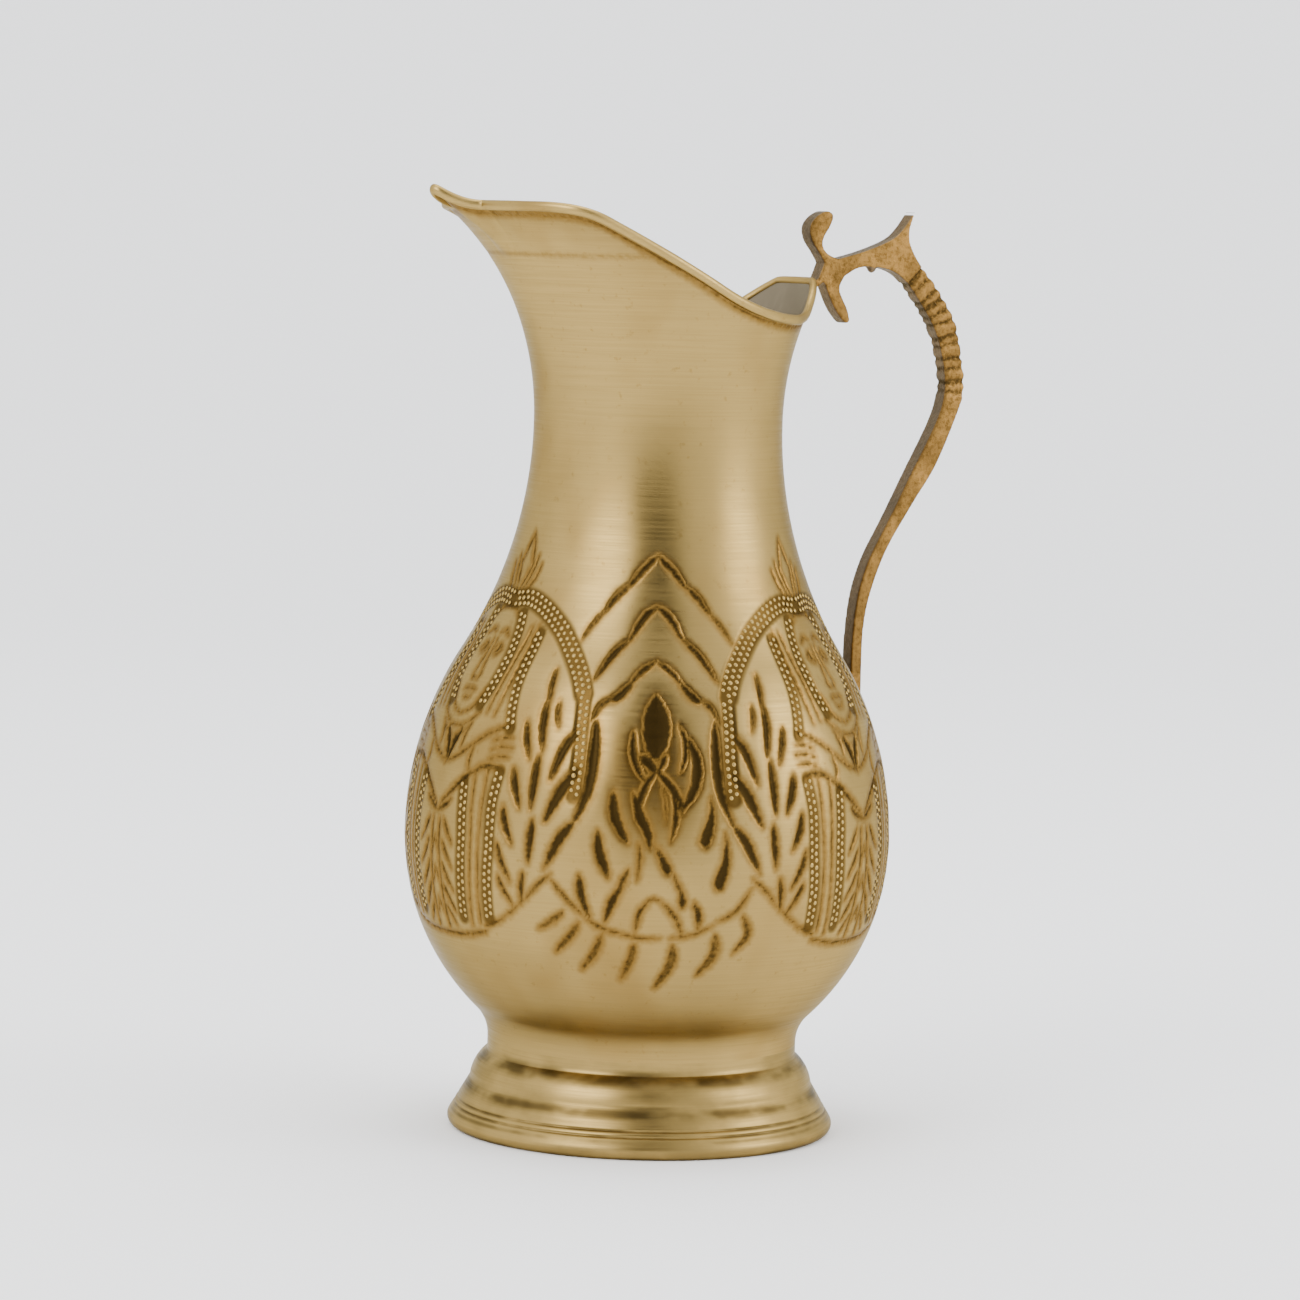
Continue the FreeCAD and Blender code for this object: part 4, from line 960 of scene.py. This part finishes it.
class JUG_OT_mouth(Operator):
    """Cut trumpet mouth with its drawn beak, and the wire along its edge"""
    bl_idname = "jug.mouth"
    bl_label = "Mouth"

    def execute(self, context):
        sizes, finish = context.scene.jug_sizes, context.scene.jug_finish
        wall = Wall(sizes)
        sheet = sizes.wall / MM
        skin = brushed_brass("mouth_brass", finish.body_colour, finish, cuts=True)
        inside = tarnished_brass("mouth_inside", finish.inside_colour, finish)
        outer = [(OUTER_RING, share) for share in np.linspace(0, 1, OUTER_ROWS)]
        inner = [(INNER_RING, share) for share in np.linspace(1, 0, INNER_ROWS)]
        bm = spun(outer + inner, sizes.columns)
        piece = piece_from(bm, "mouth_sheet", ["neck_funnel"], [skin, inside])
        spots = coordinates(piece.data)
        azimuth = np.arctan2(spots[:, 1], spots[:, 0])
        inset = np.where(np.hypot(spots[:, 0], spots[:, 1]) > BETWEEN_RINGS * MM, 0.0, sheet)
        share = np.clip(spots[:, 2] / MM, 0, 1)
        share = share * (1 - EDGE_TUCK * np.clip((share - TUCK_FROM) / (1 - TUCK_FROM), 0, 1))
        made = mouth_spots(wall, sheet, azimuth, share, inset)
        ring = np.exp(-((made[:, 2] - NECK_RING) / RING_WIDTH) ** 2) * (inset == 0)
        made[:, :2] *= (1 - RING_DEPTH * ring / np.hypot(made[:, 0], made[:, 1]))[:, None]
        made[:, 2] = np.where((share < 1e-4), NECK_HEIGHT, made[:, 2])
        move_to(piece.data, made * MM)
        below_edge = (rim_heights(wall, sheet, azimuth) - NECK_HEIGHT) * (1 - share)
        from_ring = np.abs(made[:, 2] - NECK_RING) + RING_FAINTNESS
        # The line under the wire is partly painted shadow of the wire and partly patina; the neck ring is a
        # scribed line.
        stain_and_shade = np.minimum(np.abs(below_edge - WIRE_SHADE_AND_PATINA_LINE), from_ring)
        note(piece.data, "cut_and_shade_line_gap", np.where(inset == 0, stain_and_shade - LINE_HALF_WIDTH, FAR))
        note(piece.data, "painted_shade", np.zeros(len(made)))
        note(piece.data, "band_gap", np.full(len(made), FAR))
        self.lay_wire(wall, sizes, finish)
        return {"FINISHED"}

    def lay_wire(self, wall, sizes, finish):
        """Wire along the edge, a little taller than round."""
        turns = [TURN * side / WIRE_SIDES for side in range(WIRE_SIDES)]
        bm = spun([(WIRE_LOOP + math.cos(turn), math.sin(turn)) for turn in turns], WIRE_STEPS)
        piece = piece_from(bm, "rim_edge", ["rim_wire"],
                           [brushed_brass("wire_brass", shaded(finish.body_colour, 1.08), finish)])
        spots = coordinates(piece.data) / MM
        azimuth = np.arctan2(spots[:, 1], spots[:, 0])
        angle = np.arctan2(spots[:, 2], np.hypot(spots[:, 0], spots[:, 1]) - WIRE_LOOP)
        sheet = sizes.wall / MM
        ones = np.ones_like(azimuth)
        here = mouth_spots(wall, sheet, azimuth, ones, sheet / 2 * ones)
        ahead = mouth_spots(wall, sheet, azimuth + LOOK_AHEAD, ones, sheet / 2 * ones)
        behind = mouth_spots(wall, sheet, azimuth - LOOK_AHEAD, ones, sheet / 2 * ones)
        along = ahead - behind
        along /= np.linalg.norm(along, axis=1)[:, None]
        side = np.cross(along, (0, 0, 1))
        side /= np.linalg.norm(side, axis=1)[:, None]
        over = np.cross(side, along)
        radius = sizes.rim_radius / MM * (1 - WIRE_UNEVEN + WIRE_UNEVEN * soft_noise(here, 0.35, 8))
        tall = np.sin(angle) * WIRE_TALL - WIRE_DROP
        made = here + radius[:, None] * (np.cos(angle)[:, None] * side + tall[:, None] * over)
        move_to(piece.data, made * MM)


# ---------------------------------------------------------------- foot
FOOT_COLLAR = 22.4
FOOT_STEP = (49.9, 14.0)
FOOT_BULGE = 12.0
HEM_CENTRE = (53.6, 2.5)
HEM_RADIUS = 2.6
RING_LINES = (6.3, 7.9)
RING_LINE_DEPTH, RING_LINE_WIDTH = 0.35, 0.32
FOOT_STEPS = 360
FOOT_SHARP = 55
# Patina in the foot's creases: height, half width and strength.
FOOT_CREASES = ((12.2, 1.7, 1.0), (20.9, 2.2, 1.0), (4.9, 0.7, 0.7), (6.3, 0.5, 0.9), (7.9, 0.5, 0.9),
                (0.4, 1.0, 0.6))


def arc_points(centre, radius, begin, end, count):
    return [(centre[0] + radius * math.cos(a), centre[1] + radius * math.sin(a))
            for a in np.linspace(begin, end, count)]


def foot_profile(sheet):
    """Closed section of the foot: collar, bulge, step, flare and rolled hem."""
    high = Vector((WAIST_RADIUS, FOOT_COLLAR))
    step = Vector(FOOT_STEP)
    chord = high - step
    across = chord.normalized()
    back = math.sqrt(FOOT_BULGE ** 2 - (chord.length / 2) ** 2)
    centre = (high + step) / 2 + back * Vector((-across.y, across.x))
    begin = math.atan2(high.y - centre.y, high.x - centre.x)
    end = math.atan2(step.y - centre.y, step.x - centre.x)
    bulge = arc_points(centre, FOOT_BULGE, begin, end, 16)
    hem = Vector(HEM_CENTRE)
    lean = math.atan2(step.y - hem.y, step.x - hem.x)
    touch = lean - math.acos(HEM_RADIUS / (step - hem).length)
    flare_end = hem + HEM_RADIUS * Vector((math.cos(touch), math.sin(touch)))
    flare = []
    for share in np.linspace(0.04, 1, 60):
        spot = step.lerp(flare_end, float(share))
        groove = sum(math.exp(-((spot.y - line) / RING_LINE_WIDTH) ** 2) for line in RING_LINES)
        flare.append((spot.x - RING_LINE_DEPTH * groove, spot.y))
    bottom = math.asin(-HEM_CENTRE[1] / HEM_RADIUS)
    roll = arc_points(hem, HEM_RADIUS, touch, bottom, 12)[1:]
    inner_turn = math.pi - bottom
    back_roll = arc_points(hem, HEM_RADIUS, -inner_turn, -math.pi * 1.35, 14)
    bore = WAIST_RADIUS - sheet
    inner = [(FOOT_STEP[0] - sheet, FOOT_STEP[1]), (bore + 1.6, 20.6), (bore, FOOT_COLLAR),
             (bore, WAIST_HEIGHT)]
    top = [(WAIST_RADIUS, WAIST_HEIGHT), (WAIST_RADIUS, 24.0)]
    return top + bulge + flare[:-1] + roll + back_roll + inner


class JUG_OT_foot(Operator):
    """Spun foot with its bulge, ring lines and rolled hem"""
    bl_idname = "jug.foot"
    bl_label = "Foot"

    def execute(self, context):
        sizes, finish = context.scene.jug_sizes, context.scene.jug_finish
        bm = spun(foot_profile(sizes.wall / MM), FOOT_STEPS)
        piece = piece_from(bm, "foot_skin", ["foot_ring"],
                           [foot_brass("foot_brass", shaded(finish.body_colour, 0.94), finish)], FOOT_SHARP)
        height = coordinates(piece.data)[:, 2] / MM
        crease = np.zeros(len(height))
        for level, width, share in FOOT_CREASES:
            crease = np.maximum(crease, share * np.exp(-((height - level) / width) ** 2))
        note(piece.data, "crease", crease)
        return {"FINISHED"}


# ---------------------------------------------------------------- handle
# Points of the casting's outline: a share of the height from tail to tongue, and the distance
# out in millimetres from the straight line between them.
GRIP_OUTSIDE = [(0.185, 6.5), (0.293, 9.5), (0.377, 14.1), (0.463, 21.2), (0.558, 31.7),
                (0.642, 41.3), (0.758, 51.1), (0.815, 54.5), (0.884, 54.7), (0.957, 53.8),
                (1.027, 49.2), (1.092, 42.8), (1.144, 40.8), (1.199, 44.0)]
ARM_TOP = [(1.199, 44.0), (1.156, 38.6), (1.133, 33.9), (1.108, 24.4), (1.09, 15.0)]
HORN = [(1.09, 15.0), (1.101, 11.6), (1.118, 10.2), (1.137, 11.0), (1.159, 13.4), (1.177, 14.8),
        (1.187, 14.9), (1.193, 13.6), (1.19, 11.4), (1.176, 8.3), (1.156, 6.4), (1.13, 6.5),
        (1.108, 8.2), (1.082, 10.1)]
HOOK = [(1.041, 9.2), (1.0, 10.8), (0.974, 12.4), (0.955, 14.3), (0.951, 15.6), (0.96, 16.5),
        (0.984, 16.0), (1.003, 15.0), (1.027, 14.3), (1.053, 16.5)]
GRIP_INSIDE = [(1.053, 16.5), (1.073, 22.6), (1.072, 30.8), (1.049, 37.3), (0.984, 43.2),
               (0.922, 46.9), (0.844, 47.9), (0.789, 46.6), (0.733, 42.7), (0.637, 33.5),
               (0.519, 22.2), (0.437, 14.1), (0.363, 8.9), (0.274, 5.2), (0.18, 2.7)]
TAIL_LOW, TAIL_HIGH, TAIL_TIP = 99.0, 113.0, 1.4
TONGUE_LOW, TONGUE_HIGH = 238.4, 245.2
HANDLE_WIDTH = 5.6
SOLDER_GAP = 0.15
RIB_RUN = [(85.5, 250.5), (90, 246), (95.5, 237), (99.5, 226), (101, 218), (101.2, 213.5)]
RIB_PITCH = 3.5
NUB = (70.8, -0.9, 251.6)
NUB_RADIUS = 1.4
REMESH = 0.00042
TAIL_RISE, TONGUE_RISE, TONGUE_OUT = 1.0, 0.2, 1.5
RIB_REACH = 9
SIDE_CUT, EDGE_CUT = 0.22, 0.35
# Where the flat sides end and the painted shade of the narrow edge faces begins.
FLAT_FACE, FLAT_EDGE = 0.84, 0.1


def handle_outline(wall):
    """The casting's outline in the upright plane, in millimetres."""
    tail_height = (TAIL_LOW + TAIL_HIGH) / 2 + TAIL_RISE
    top_height = (TONGUE_LOW + TONGUE_HIGH) / 2 + TONGUE_RISE
    tail = float(wall.radius(tail_height))
    top = float(wall.radius(top_height)) + TONGUE_OUT

    def places(points):
        return [(tail + share * (top - tail) + out, tail_height + share * (top_height - tail_height))
                for share, out in points]

    def along_wall(low, high, count):
        return [inside_of(wall, h, -SOLDER_GAP) for h in np.linspace(low, high, count)]

    tail_run = along_wall(TAIL_HIGH, TAIL_LOW, 6)
    tongue = along_wall(TONGUE_HIGH, TONGUE_LOW, 4)
    tip = (tail_run[-1][0] + TAIL_TIP, TAIL_LOW)
    outline = eased([tip] + places(GRIP_OUTSIDE), 5)
    outline += eased(places(ARM_TOP), 5)[1:]
    outline += eased(places(HORN), 5)[1:]
    outline += places([(1.047, 7.4)]) + tongue + places([(1.028, 6.6)])
    outline += eased(places(HOOK), 5)
    outline += eased(places(GRIP_INSIDE) + [tail_run[0]], 5)[1:]
    return outline + tail_run[1:]


class JUG_OT_handle(Operator):
    """Cast handle with its horn, hook, thumb point and cross grooves"""
    bl_idname = "jug.handle"
    bl_label = "Handle"

    def execute(self, context):
        sizes, finish = context.scene.jug_sizes, context.scene.jug_finish
        wall = Wall(sizes)
        bm = bmesh.new()
        half = HANDLE_WIDTH / 2 * MM
        verts = [bm.verts.new((x * MM, -half, z * MM)) for x, z in handle_outline(wall)]
        face = bm.faces.new(verts)
        made = bmesh.ops.extrude_face_region(bm, geom=[face])
        moved = [item for item in made["geom"] if isinstance(item, bmesh.types.BMVert)]
        bmesh.ops.translate(bm, verts=moved, vec=(0, 2 * half, 0))
        bmesh.ops.triangulate(bm, faces=[f for f in bm.faces if len(f.verts) > 4])
        bmesh.ops.recalc_face_normals(bm, faces=bm.faces)
        bmesh.ops.create_icosphere(bm, subdivisions=2, radius=NUB_RADIUS * MM,
                                   matrix=Matrix.Translation(Vector(NUB) * MM))
        mesh = recast(bm, "handle_casting")
        piece = dress(bpy.data.objects.new("handle_casting", mesh), ["handle"],
                      [cast_brass("cast_brass", finish.handle_colour, finish)])
        work_handle(piece.data)
        return {"FINISHED"}


def recast(bm, name):
    """Even, softened mesh of the same solid, as casting leaves it."""
    rough = bpy.data.meshes.new(name + "_rough")
    bm.to_mesh(rough)
    bm.free()
    holder = bpy.data.objects.new(name + "_rough", rough)
    bpy.context.collection.objects.link(holder)
    voxels = holder.modifiers.new("voxels", "REMESH")
    voxels.mode = "VOXEL"
    voxels.voxel_size = REMESH
    ease = holder.modifiers.new("ease", "SMOOTH")
    ease.factor = 0.5
    ease.iterations = 5
    shape = holder.evaluated_get(bpy.context.evaluated_depsgraph_get())
    mesh = bpy.data.meshes.new_from_object(shape)
    mesh.name = name
    bpy.data.objects.remove(holder)
    bpy.data.meshes.remove(rough)
    return mesh


def work_handle(mesh):
    """Files the cross grooves into the grip's outer end and notes them for the patina."""
    spots = coordinates(mesh) / MM
    run = np.array(eased(RIB_RUN, 8))
    steps = np.hypot(*np.diff(run, axis=0).T)
    along = np.concatenate([[0], np.cumsum(steps)])
    fine = np.linspace(0, along[-1], 400)
    line = np.stack([np.interp(fine, along, run[:, 0]), np.interp(fine, along, run[:, 1])], 1)
    plane = spots[:, [0, 2]]
    away = np.linalg.norm(plane[:, None, :] - line[None, :, :], axis=2)
    nearest = away.argmin(1)
    where = fine[nearest]
    close = (away.min(1) < RIB_REACH) & (nearest > 0) & (nearest < len(fine) - 1)
    rng = np.random.default_rng(3)
    groove = np.zeros(len(spots))
    for start in np.arange(1.0, along[-1] - 0.5, RIB_PITCH):
        middle = start + rng.uniform(-0.6, 0.6)
        tilt = rng.uniform(-0.2, 0.2)
        side = plane[:, 0] - line[nearest, 0]
        width = rng.uniform(0.7, 1.25)
        struck = np.exp(-((where - middle - tilt * side) / width) ** 2)
        groove = np.maximum(groove, struck * rng.uniform(0.65, 1.0))
    groove *= close
    face = np.abs(spots[:, 1]) / (HANDLE_WIDTH / 2)
    spots[:, 1] *= 1 - SIDE_CUT * groove * np.clip(face * 1.5 - 0.3, 0, 1)
    toward = line[nearest] - plane
    size = np.linalg.norm(toward, axis=1) + 1e-6
    spots[:, [0, 2]] += toward / size[:, None] * (EDGE_CUT * groove)[:, None]
    spots[:, 1] *= 1 - 0.02 * (1 + soft_noise(spots, 0.5, 5))
    move_to(mesh, spots * MM)
    note(mesh, "groove", groove)
    # Marks the narrow edge faces for the painted shade.
    note(mesh, "edge_painted_shade", 1 - np.clip((face - FLAT_FACE) / FLAT_EDGE, 0, 1))
    soften(mesh)


# ---------------------------------------------------------------- small metal parts
SPELTER_NODES = ("belly_braze", "neck_braze", "foot_braze", "handle_lower_solder", "handle_upper_solder")


class JUG_OT_joints(Operator):
    """Finishes of the braze, the solder and the wire inside the foot's hem"""
    bl_idname = "jug.joints"
    bl_label = "Joints"

    def execute(self, context):
        finish = context.scene.jug_finish
        spelter = cast_brass("spelter", shaded(finish.body_colour, 0.9), finish)
        wire = brushed_brass("hem_wire", finish.body_colour, finish)
        for name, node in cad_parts.items():
            if name in SPELTER_NODES or name == "foot_edge_wire":
                node.data.materials.clear()
                node.data.materials.append(spelter if name in SPELTER_NODES else wire)
        return {"FINISHED"}


# ---------------------------------------------------------------- stage
CAMERA_PLACE = (-0.7000, -1.21244, 0.262)
CAMERA_AZIMUTH = -30.0
CAMERA_PITCH = 4.94
CAMERA_ROLL = 1.573
CAMERA_LENS = 133.98
CAMERA_SHIFT = (-0.0016, -0.0035)
SWEEP_START = 1.7
SWEEP_RADIUS = 1.5
CARD_DISTANCE = 2.1
CARD_WIDTH = 1.6
CARD_HEIGHT = 3.0
CARD_FOOT = 0.45
# Lamps: name, place, aim, size and power.
LAMPS = [
    ("key", (-2.0, -0.7, 1.5), (0, 0, 0.15), 1.3, 34.0),
    ("fill", (1.7, -1.5, 1.1), (0, 0, 0.14), 1.2, 26.0),
    ("top", (0.1, 0.2, 2.0), (0, 0, 0.1), 1.4, 22.0),
]
SKY_COLOUR = (0.96, 0.975, 1.0, 1.0)
SKY_STRENGTH = 1.95
FLOOR_COLOUR = (0.96, 0.96, 0.96, 1.0)
CARD_COLOUR = (0.02, 0.02, 0.02, 1.0)


class JUG_OT_stage(Operator):
    """Pale floor, soft studio light and the camera"""
    bl_idname = "jug.stage"
    bl_label = "Stage"

    def execute(self, context):
        self.lay_floor()
        for lamp in LAMPS:
            self.light(*lamp)
        self.dark_card()
        world = bpy.data.worlds.new("studio")
        world.use_nodes = True
        world.node_tree.nodes["Background"].inputs["Color"].default_value = SKY_COLOUR
        world.node_tree.nodes["Background"].inputs["Strength"].default_value = SKY_STRENGTH
        bpy.context.scene.world = world
        self.set_camera()
        return {"FINISHED"}

    def lay_floor(self):
        """Pale sheet, swept up well behind the jug."""
        bm = bmesh.new()
        bmesh.ops.create_grid(bm, x_segments=120, y_segments=120, size=6.0)
        back = Vector((-math.sin(math.radians(CAMERA_AZIMUTH)), math.cos(math.radians(CAMERA_AZIMUTH)), 0))
        for vert in bm.verts:
            past = vert.co.dot(back) - SWEEP_START
            if past > 0:
                turn = min(past / SWEEP_RADIUS, math.pi / 2)
                rise = max(0.0, past - SWEEP_RADIUS * math.pi / 2)
                vert.co += back * (SWEEP_RADIUS * math.sin(turn) - past)
                vert.co.z = SWEEP_RADIUS * (1 - math.cos(turn)) + rise
        for face in bm.faces:
            face.smooth = True
        self.stand("floor", bm, FLOOR_COLOUR)

    def dark_card(self):
        """Dark upright card behind the camera, seen only as the dark band down the middle of the brass."""
        bm = bmesh.new()
        front = Vector((math.sin(math.radians(CAMERA_AZIMUTH)), -math.cos(math.radians(CAMERA_AZIMUTH)), 0))
        place = front * CARD_DISTANCE + Vector((0, 0, CARD_FOOT + CARD_HEIGHT / 2))
        turn = front.to_track_quat("Z", "Y").to_matrix().to_4x4()
        size = Matrix.Diagonal((CARD_WIDTH / 2, CARD_HEIGHT / 2, 1, 1))
        bmesh.ops.create_grid(bm, x_segments=1, y_segments=1, size=1.0,
                              matrix=Matrix.Translation(place) @ turn @ size)
        self.stand("dark_card", bm, CARD_COLOUR).visible_camera = False

    def stand(self, name, bm, colour):
        mesh = bpy.data.meshes.new(name)
        bm.to_mesh(mesh)
        bm.free()
        sheet = bpy.data.objects.new(name, mesh)
        bpy.context.collection.objects.link(sheet)
        matt = bpy.data.materials.new(name)
        matt.use_nodes = True
        shader = matt.node_tree.nodes["Principled BSDF"]
        shader.inputs["Base Color"].default_value = colour
        shader.inputs["Roughness"].default_value = 0.9
        mesh.materials.append(matt)
        return sheet

    def light(self, name, place, aim, size, power):
        lamp = bpy.data.lights.new(name, "AREA")
        lamp.size = size
        lamp.energy = power
        holder = bpy.data.objects.new(name, lamp)
        holder.location = place
        holder.rotation_euler = (Vector(place) - Vector(aim)).to_track_quat("Z", "Y").to_euler()
        bpy.context.collection.objects.link(holder)

    def set_camera(self):
        lens = bpy.data.cameras.new("camera")
        lens.lens = CAMERA_LENS
        lens.sensor_width = 36.0
        lens.shift_x, lens.shift_y = CAMERA_SHIFT
        lens.clip_start = 0.05
        lens.clip_end = 50.0
        camera = bpy.data.objects.new("camera", lens)
        turn = (Matrix.Rotation(math.radians(CAMERA_AZIMUTH), 3, "Z")
                @ Matrix.Rotation(math.radians(90 - CAMERA_PITCH), 3, "X")
                @ Matrix.Rotation(math.radians(CAMERA_ROLL), 3, "Z"))
        camera.rotation_euler = turn.to_euler()
        camera.location = CAMERA_PLACE
        bpy.context.collection.objects.link(camera)
        bpy.context.scene.camera = camera


# ---------------------------------------------------------------- add-on
OPERATORS = (JUG_OT_body, JUG_OT_beads, JUG_OT_mouth, JUG_OT_foot, JUG_OT_handle, JUG_OT_joints, JUG_OT_stage)


class JUG_PT_panel(Panel):
    """Builds the jug piece by piece"""
    bl_idname = "JUG_PT_panel"
    bl_label = "Brass Jug"
    bl_space_type = "VIEW_3D"
    bl_region_type = "UI"
    bl_category = "Jug"

    def draw(self, context):
        for settings in (context.scene.jug_sizes, context.scene.jug_finish):
            box = self.layout.box()
            for name in settings.__annotations__:
                box.prop(settings, name)
        for operator in OPERATORS:
            self.layout.operator(operator.bl_idname)


CLASSES = (JugSizes, JugFinish, *OPERATORS, JUG_PT_panel)


def register():
    for item in CLASSES:
        bpy.utils.register_class(item)
    bpy.types.Scene.jug_sizes = PointerProperty(type=JugSizes)
    bpy.types.Scene.jug_finish = PointerProperty(type=JugFinish)


def unregister():
    del bpy.types.Scene.jug_finish
    del bpy.types.Scene.jug_sizes
    for item in reversed(CLASSES):
        bpy.utils.unregister_class(item)


def main():
    register()
    bpy.ops.jug.body()
    bpy.ops.jug.beads()
    bpy.ops.jug.mouth()
    bpy.ops.jug.foot()
    bpy.ops.jug.handle()
    bpy.ops.jug.joints()
    bpy.ops.jug.stage()


if __name__ == "__main__":
    main()
